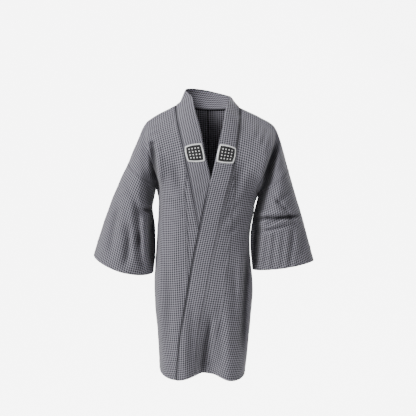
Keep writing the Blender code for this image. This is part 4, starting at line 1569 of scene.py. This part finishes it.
def sleeve_piece(side):
    sign = SIGN[side]
    start = ARMHOLE_SEAM / SLEEVE_LENGTH
    shares = start + (1 - start) * np.arange(SLEEVE_STEPS + 1) / SLEEVE_STEPS
    turns = (180 + 360 * np.arange(ROUND_STEPS + 1) / ROUND_STEPS) % 360
    points = np.array([[sleeve_point(side, share, turn) for turn in turns] for share in shares])
    points = leaned_in(side, points, shares, turns)
    places = plain_places(points)
    places[..., 0] -= places[:, ROUND_STEPS // 2, None, 0]
    points, shade = folded(points, sign)
    # Painted shade along the armhole seam.
    shade = np.maximum(shade, seam_shade(points, "top", ARMHOLE_SHADE))
    points = turned_in(points, sign, ("top",))
    points = hemmed(points, sign, CUFF_HEM)
    join(points[:, 0], points[:, -1])
    cloth_piece("sleeve_cloth_" + side, [(points, places, shade)], BODY_WALL, cotton,
                (sign * 0.3, -0.1, -0.4))
    return points


sleeves = {side: sleeve_piece(side) for side in SIDES}

# %% [markdown]
# The two squares on the collar are black cotton, cut out and sewn down on top. Their design here is a
# few rows of small white squares, the kind found on any old cloth, within a white edge. The material
# draws them from the square's own places.

# %% Patch cotton
PATCH_SIDE = 0.061       # side of a square
PATCH_BLACK = (0.006, 0.006, 0.007, 1)
PATCH_WHITE = (0.90, 0.90, 0.90, 1)
DOT_PITCH = 0.0105       # distance from one small square to the next
DOT_SHARE = 0.34         # width of one, against that
DOT_FIELD = 0.0205       # how far from the middle they reach
PATCH_RIM = 0.0046       # width of the white edge


def patch_cotton():
    material, tree, shader = new_material("applied_patch")
    cloth = cloth_places(tree)
    parts = add_node(tree, "ShaderNodeSeparateXYZ", {0: cloth}).outputs
    far = [reckon(tree, "ABSOLUTE", parts[axis]) for axis in (0, 1)]
    dots = 1.0
    for axis in (0, 1):
        share = reckon(tree, "FRACT", reckon(tree, "DIVIDE", parts[axis], DOT_PITCH))
        off = reckon(tree, "ABSOLUTE", reckon(tree, "SUBTRACT", share, 0.5))
        dots = reckon(tree, "MULTIPLY", dots, reckon(tree, "LESS_THAN", off, DOT_SHARE / 2))
        dots = reckon(tree, "MULTIPLY", dots, reckon(tree, "LESS_THAN", far[axis], DOT_FIELD))
    rim = reckon(tree, "GREATER_THAN", reckon(tree, "MAXIMUM", *far), PATCH_SIDE / 2 - PATCH_RIM)
    design = mix_colour(tree, reckon(tree, "MAXIMUM", dots, rim), PATCH_BLACK, PATCH_WHITE)
    shaded = washed(tree, design, cloth)
    feed(tree, shader, {"Base Color": shaded["Color"], "Normal": bumped(tree, shaded["Slub"], 0.4),
                        "Roughness": 0.82, "Sheen Weight": 0.1})
    return material


patch_finish = patch_cotton()
print("material:", patch_finish.name)

# %% Patches
PATCH_Z = -0.164         # its height on the chest
PATCH_LIFT = 0.0006      # gap between the collar and a patch
PATCH_WALL = 0.0011
PATCH_STEPS = 24
PATCH_MARGIN = 0.0015    # what the band keeps free on either side of a square
CORNER_PULL = 0.10       # rounds the square's corners


def patch_points(side):
    """A rounded square on the collar band, at its place along the band."""
    rows = collar_grid if side == "left" else collar_grid[::-1]
    middle = rows[:, rows.shape[1] // 2]
    run = line_run(middle)
    half = len(rows) // 2
    at = np.interp(-PATCH_Z, -middle[:half, 2][::-1], run[:half][::-1])
    steps = np.linspace(-1, 1, PATCH_STEPS + 1)
    grid = np.empty((PATCH_STEPS + 1, PATCH_STEPS + 1, 3))
    for j, t in enumerate(steps):
        for i, s in enumerate(steps):
            along = at + PATCH_SIDE / 2 * t * (1 - CORNER_PULL * s * s)
            row = np.array([point_at(rows[:, c], run, along) for c in range(rows.shape[1])])
            across = line_run(row)
            reach = min(PATCH_SIDE / 2, across[-1] / 2 - PATCH_MARGIN)
            place = across[-1] / 2 + reach * s * (1 - CORNER_PULL * t * t)
            grid[j, i] = point_at(row, across, place)
    return grid


def patch_piece(side):
    points = patch_points(side)
    normals = grid_normals(points) * SIGN[side]
    points = points + normals * (PATCH_LIFT + PATCH_WALL)
    steps = np.linspace(-0.5, 0.5, PATCH_STEPS + 1) * PATCH_SIDE
    places = np.stack(np.meshgrid(steps, steps), axis=-1)
    middle = points[PATCH_STEPS // 2, PATCH_STEPS // 2]
    cloth_piece("patch_cloth_" + side, [(points, places, np.zeros(points.shape[:2]))], PATCH_WALL,
                patch_finish, middle)
    return points, normals


patches = {side: patch_piece(side) for side in SIDES}

# %% [markdown]
# Stitches repeat along a path, so they are a task for Geometry Nodes. The tree takes a path whose points
# know which way the cloth faces, sets points along it at an even spacing, and puts one small thread on
# each. Its size inputs make it a running stitch when the thread lies along the path, and an edging when
# it lies across.

# %% Stitch tree
def stitch_tree(name, finish):
    tree = bpy.data.node_groups.new(name, "GeometryNodeTree")
    add_socket = tree.interface.new_socket
    add_socket("Path", in_out="INPUT", socket_type="NodeSocketGeometry")
    for label, value in (("Spacing", 0.008), ("Along", 0.003), ("Across", 0.0006), ("Up", 0.0004)):
        add_socket(label, in_out="INPUT", socket_type="NodeSocketFloat").default_value = value
    add_socket("Stitches", in_out="OUTPUT", socket_type="NodeSocketGeometry")
    given = add_node(tree, "NodeGroupInput").outputs
    curve = add_node(tree, "GeometryNodeMeshToCurve", {"Mesh": given["Path"]})
    spread = add_node(tree, "GeometryNodeCurveToPoints",
                      {"Curve": curve.outputs[0], "Length": given["Spacing"]}, mode="LENGTH").outputs
    facing = add_node(tree, "GeometryNodeInputNamedAttribute", {"Name": "facing"},
                      data_type="FLOAT_VECTOR")
    turn = add_node(tree, "FunctionNodeAxesToRotation",
                    {"Primary Axis": facing.outputs["Attribute"], "Secondary Axis": spread["Tangent"]},
                    primary_axis="Z", secondary_axis="X")
    thread = add_node(tree, "GeometryNodeMeshUVSphere", {"Segments": 6, "Rings": 4, "Radius": 0.5})
    size = add_node(tree, "ShaderNodeCombineXYZ",
                    {"X": given["Along"], "Y": given["Across"], "Z": given["Up"]})
    placed = add_node(tree, "GeometryNodeInstanceOnPoints",
                      {"Points": spread["Points"], "Instance": thread.outputs["Mesh"],
                       "Rotation": turn.outputs["Rotation"], "Scale": size.outputs[0]})
    real = add_node(tree, "GeometryNodeRealizeInstances", {0: placed.outputs[0]})
    dressed = add_node(tree, "GeometryNodeSetMaterial",
                       {"Geometry": real.outputs[0], "Material": finish})
    add_node(tree, "NodeGroupOutput", {"Stitches": dressed.outputs[0]})
    return tree


def sewing_thread(name, colour):
    material, tree, shader = new_material(name)
    ply = noise_value(tree, add_node(tree, "ShaderNodeTexCoord").outputs["Object"], 900.0)
    dark = tuple(0.7 * value for value in colour[:3]) + (1,)
    feed(tree, shader, {"Base Color": mix_colour(tree, ply, dark, colour), "Roughness": 0.7})
    return material


grey_thread = sewing_thread("grey_thread", (0.30, 0.30, 0.33, 1))
white_thread = sewing_thread("white_thread", (0.90, 0.90, 0.91, 1))
print("threads:", grey_thread.name, white_thread.name)

# %% Sew along a path
def sewn(name, paths, finish, sizes):
    """paths are pairs of points and the directions that the cloth faces there."""
    corners = []
    edges = []
    facing = []
    for points, normals in paths:
        first = len(corners)
        corners.extend(points.tolist())
        facing.extend(normals.ravel().tolist())
        edges.extend((first + k, first + k + 1) for k in range(len(points) - 1))
    mesh = bpy.data.meshes.new(name)
    mesh.from_pydata(corners, edges, [])
    mesh.attributes.new("facing", "FLOAT_VECTOR", "POINT").data.foreach_set("vector", facing)
    guide = place_object(name + "_path", mesh)
    tree = stitch_tree(name + "_tree", finish)
    modifier = guide.modifiers.new("stitches", "NODES")
    modifier.node_group = tree
    sockets = {item.name: item.identifier for item in tree.interface.items_tree
               if item.in_out == "INPUT"}
    for label, value in sizes.items():
        modifier[sockets[label]] = value
    evaluated = guide.evaluated_get(bpy.context.evaluated_depsgraph_get())
    result = bpy.data.meshes.new_from_object(evaluated)
    result.name = name
    result.shade_smooth()
    bpy.data.objects.remove(guide)
    pieces[name] = place_object(name, result)
    print(name, len(result.polygons), "faces")


# %% [markdown]
# Hems on such a coat are sewn by hand from inside, and only tiny dots of thread come through. They sit
# just under the fold's step at the hem and at both cuffs. The squares have a white edging of close
# threads, laid across the edge.

# %% Hem and cuff stitches
HEM_STITCH = {"Spacing": 0.009, "Along": 0.0022, "Across": 0.0006, "Up": 0.0005}
STITCH_DOWN = 0.001      # how far below the hem's upper edge the stitches lie


def level_path(points, outward, height):
    """A line at one height above the bottom edge of a grid, with its normals."""
    above = above_hem(points)[::-1]
    normals = grid_normals(points)[::-1] * outward
    points = points[::-1]
    columns = range(points.shape[1])
    return [np.array([point_at(grid[:, c], above[:, c], height - STITCH_DOWN) for c in columns])
            for grid in (points, normals)]


hem_paths = []
cuff_paths = []
for side, sign in SIGN.items():
    front, back = bodies[side]
    hem_paths.append(level_path(front, -sign, BODY_HEM))
    hem_paths.append(level_path(back, sign, BODY_HEM))
    cuff_paths.append(level_path(sleeves[side], sign, CUFF_HEM))
sewn("hem_stitches", hem_paths, grey_thread, HEM_STITCH)
sewn("cuff_stitches", cuff_paths, grey_thread, HEM_STITCH)

# %% Edging of the patches
EDGING = {"Spacing": 0.00075, "Along": 0.0009, "Across": 0.0056, "Up": 0.0012}
EDGING_INSET = 0.0022    # how far inside the square's edge the edging runs


def patch_outline(side):
    """A path just inside the edge of a square, with its normals."""
    points, normals = patches[side]
    last = PATCH_STEPS
    rim = ([(0, c) for c in range(last)] + [(r, last) for r in range(last)]
           + [(last, c) for c in range(last, 0, -1)] + [(r, 0) for r in range(last, -1, -1)])
    line = np.array([points[cell] for cell in rim])
    inward = points[last // 2, last // 2] - line
    inward = inward / np.linalg.norm(inward, axis=1, keepdims=True)
    return line + inward * EDGING_INSET, np.array([normals[cell] for cell in rim])


sewn("patch_edging", [patch_outline(side) for side in SIDES], white_thread, EDGING)

# %% [markdown]
# Last, every piece is tied to the frame: it rides on the coat's one body, and the plain solid that a
# cloth piece stands for is hidden. Then both boxes are written out, so that the dressed coat can be
# compared with the plain one.

# %% Tie the pieces to the frame
STANDS_FOR = {
    # piece: node, flat width and length, flat area, what it lies on
    "body_panel_left": ("body_left", (0.44, 1.86), 0.385, ["collar_band"]),
    "body_panel_right": ("body_right", (0.44, 1.86), 0.388, ["collar_band"]),
    "front_strip_left": ("front_extension_left", (0.062, 0.76), 0.033, ["body_panel_left"]),
    "front_strip_right": ("front_extension_right", (0.062, 0.76), 0.034, ["body_panel_right"]),
    "collar_band": ("collar", (0.066, 2.28), 0.148, ["body_panel_left", "body_panel_right"]),
    "sleeve_cloth_left": ("sleeve_left", (0.47, 0.325), 0.147, ["body_panel_left"]),
    "sleeve_cloth_right": ("sleeve_right", (0.48, 0.325), 0.153, ["body_panel_right"]),
    "patch_cloth_left": ("collar_patch_left", (0.061, 0.061), 0.0035, ["collar_band"]),
    "patch_cloth_right": ("collar_patch_right", (0.061, 0.061), 0.0035, ["collar_band"]),
}
SEWN_ON = {
    "hem_stitches": "check_cotton",
    "cuff_stitches": "check_cotton",
    "patch_edging": "applied_patch",
}
for name, (node, flat, area, rests) in STANDS_FOR.items():
    piece = pieces[name]
    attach(piece, "root")
    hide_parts(node)
for name, slot in SEWN_ON.items():
    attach(pieces[name], "root")
print("pieces:", len(pieces))

# %% Print both boxes and finish
looks_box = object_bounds()
sizes = {"cad": [list(corner) for corner in cad_box], "looks": [list(corner) for corner in looks_box]}
for label, box in sizes.items():
    print(label, [[round(v, 4) for v in corner] for corner in box])
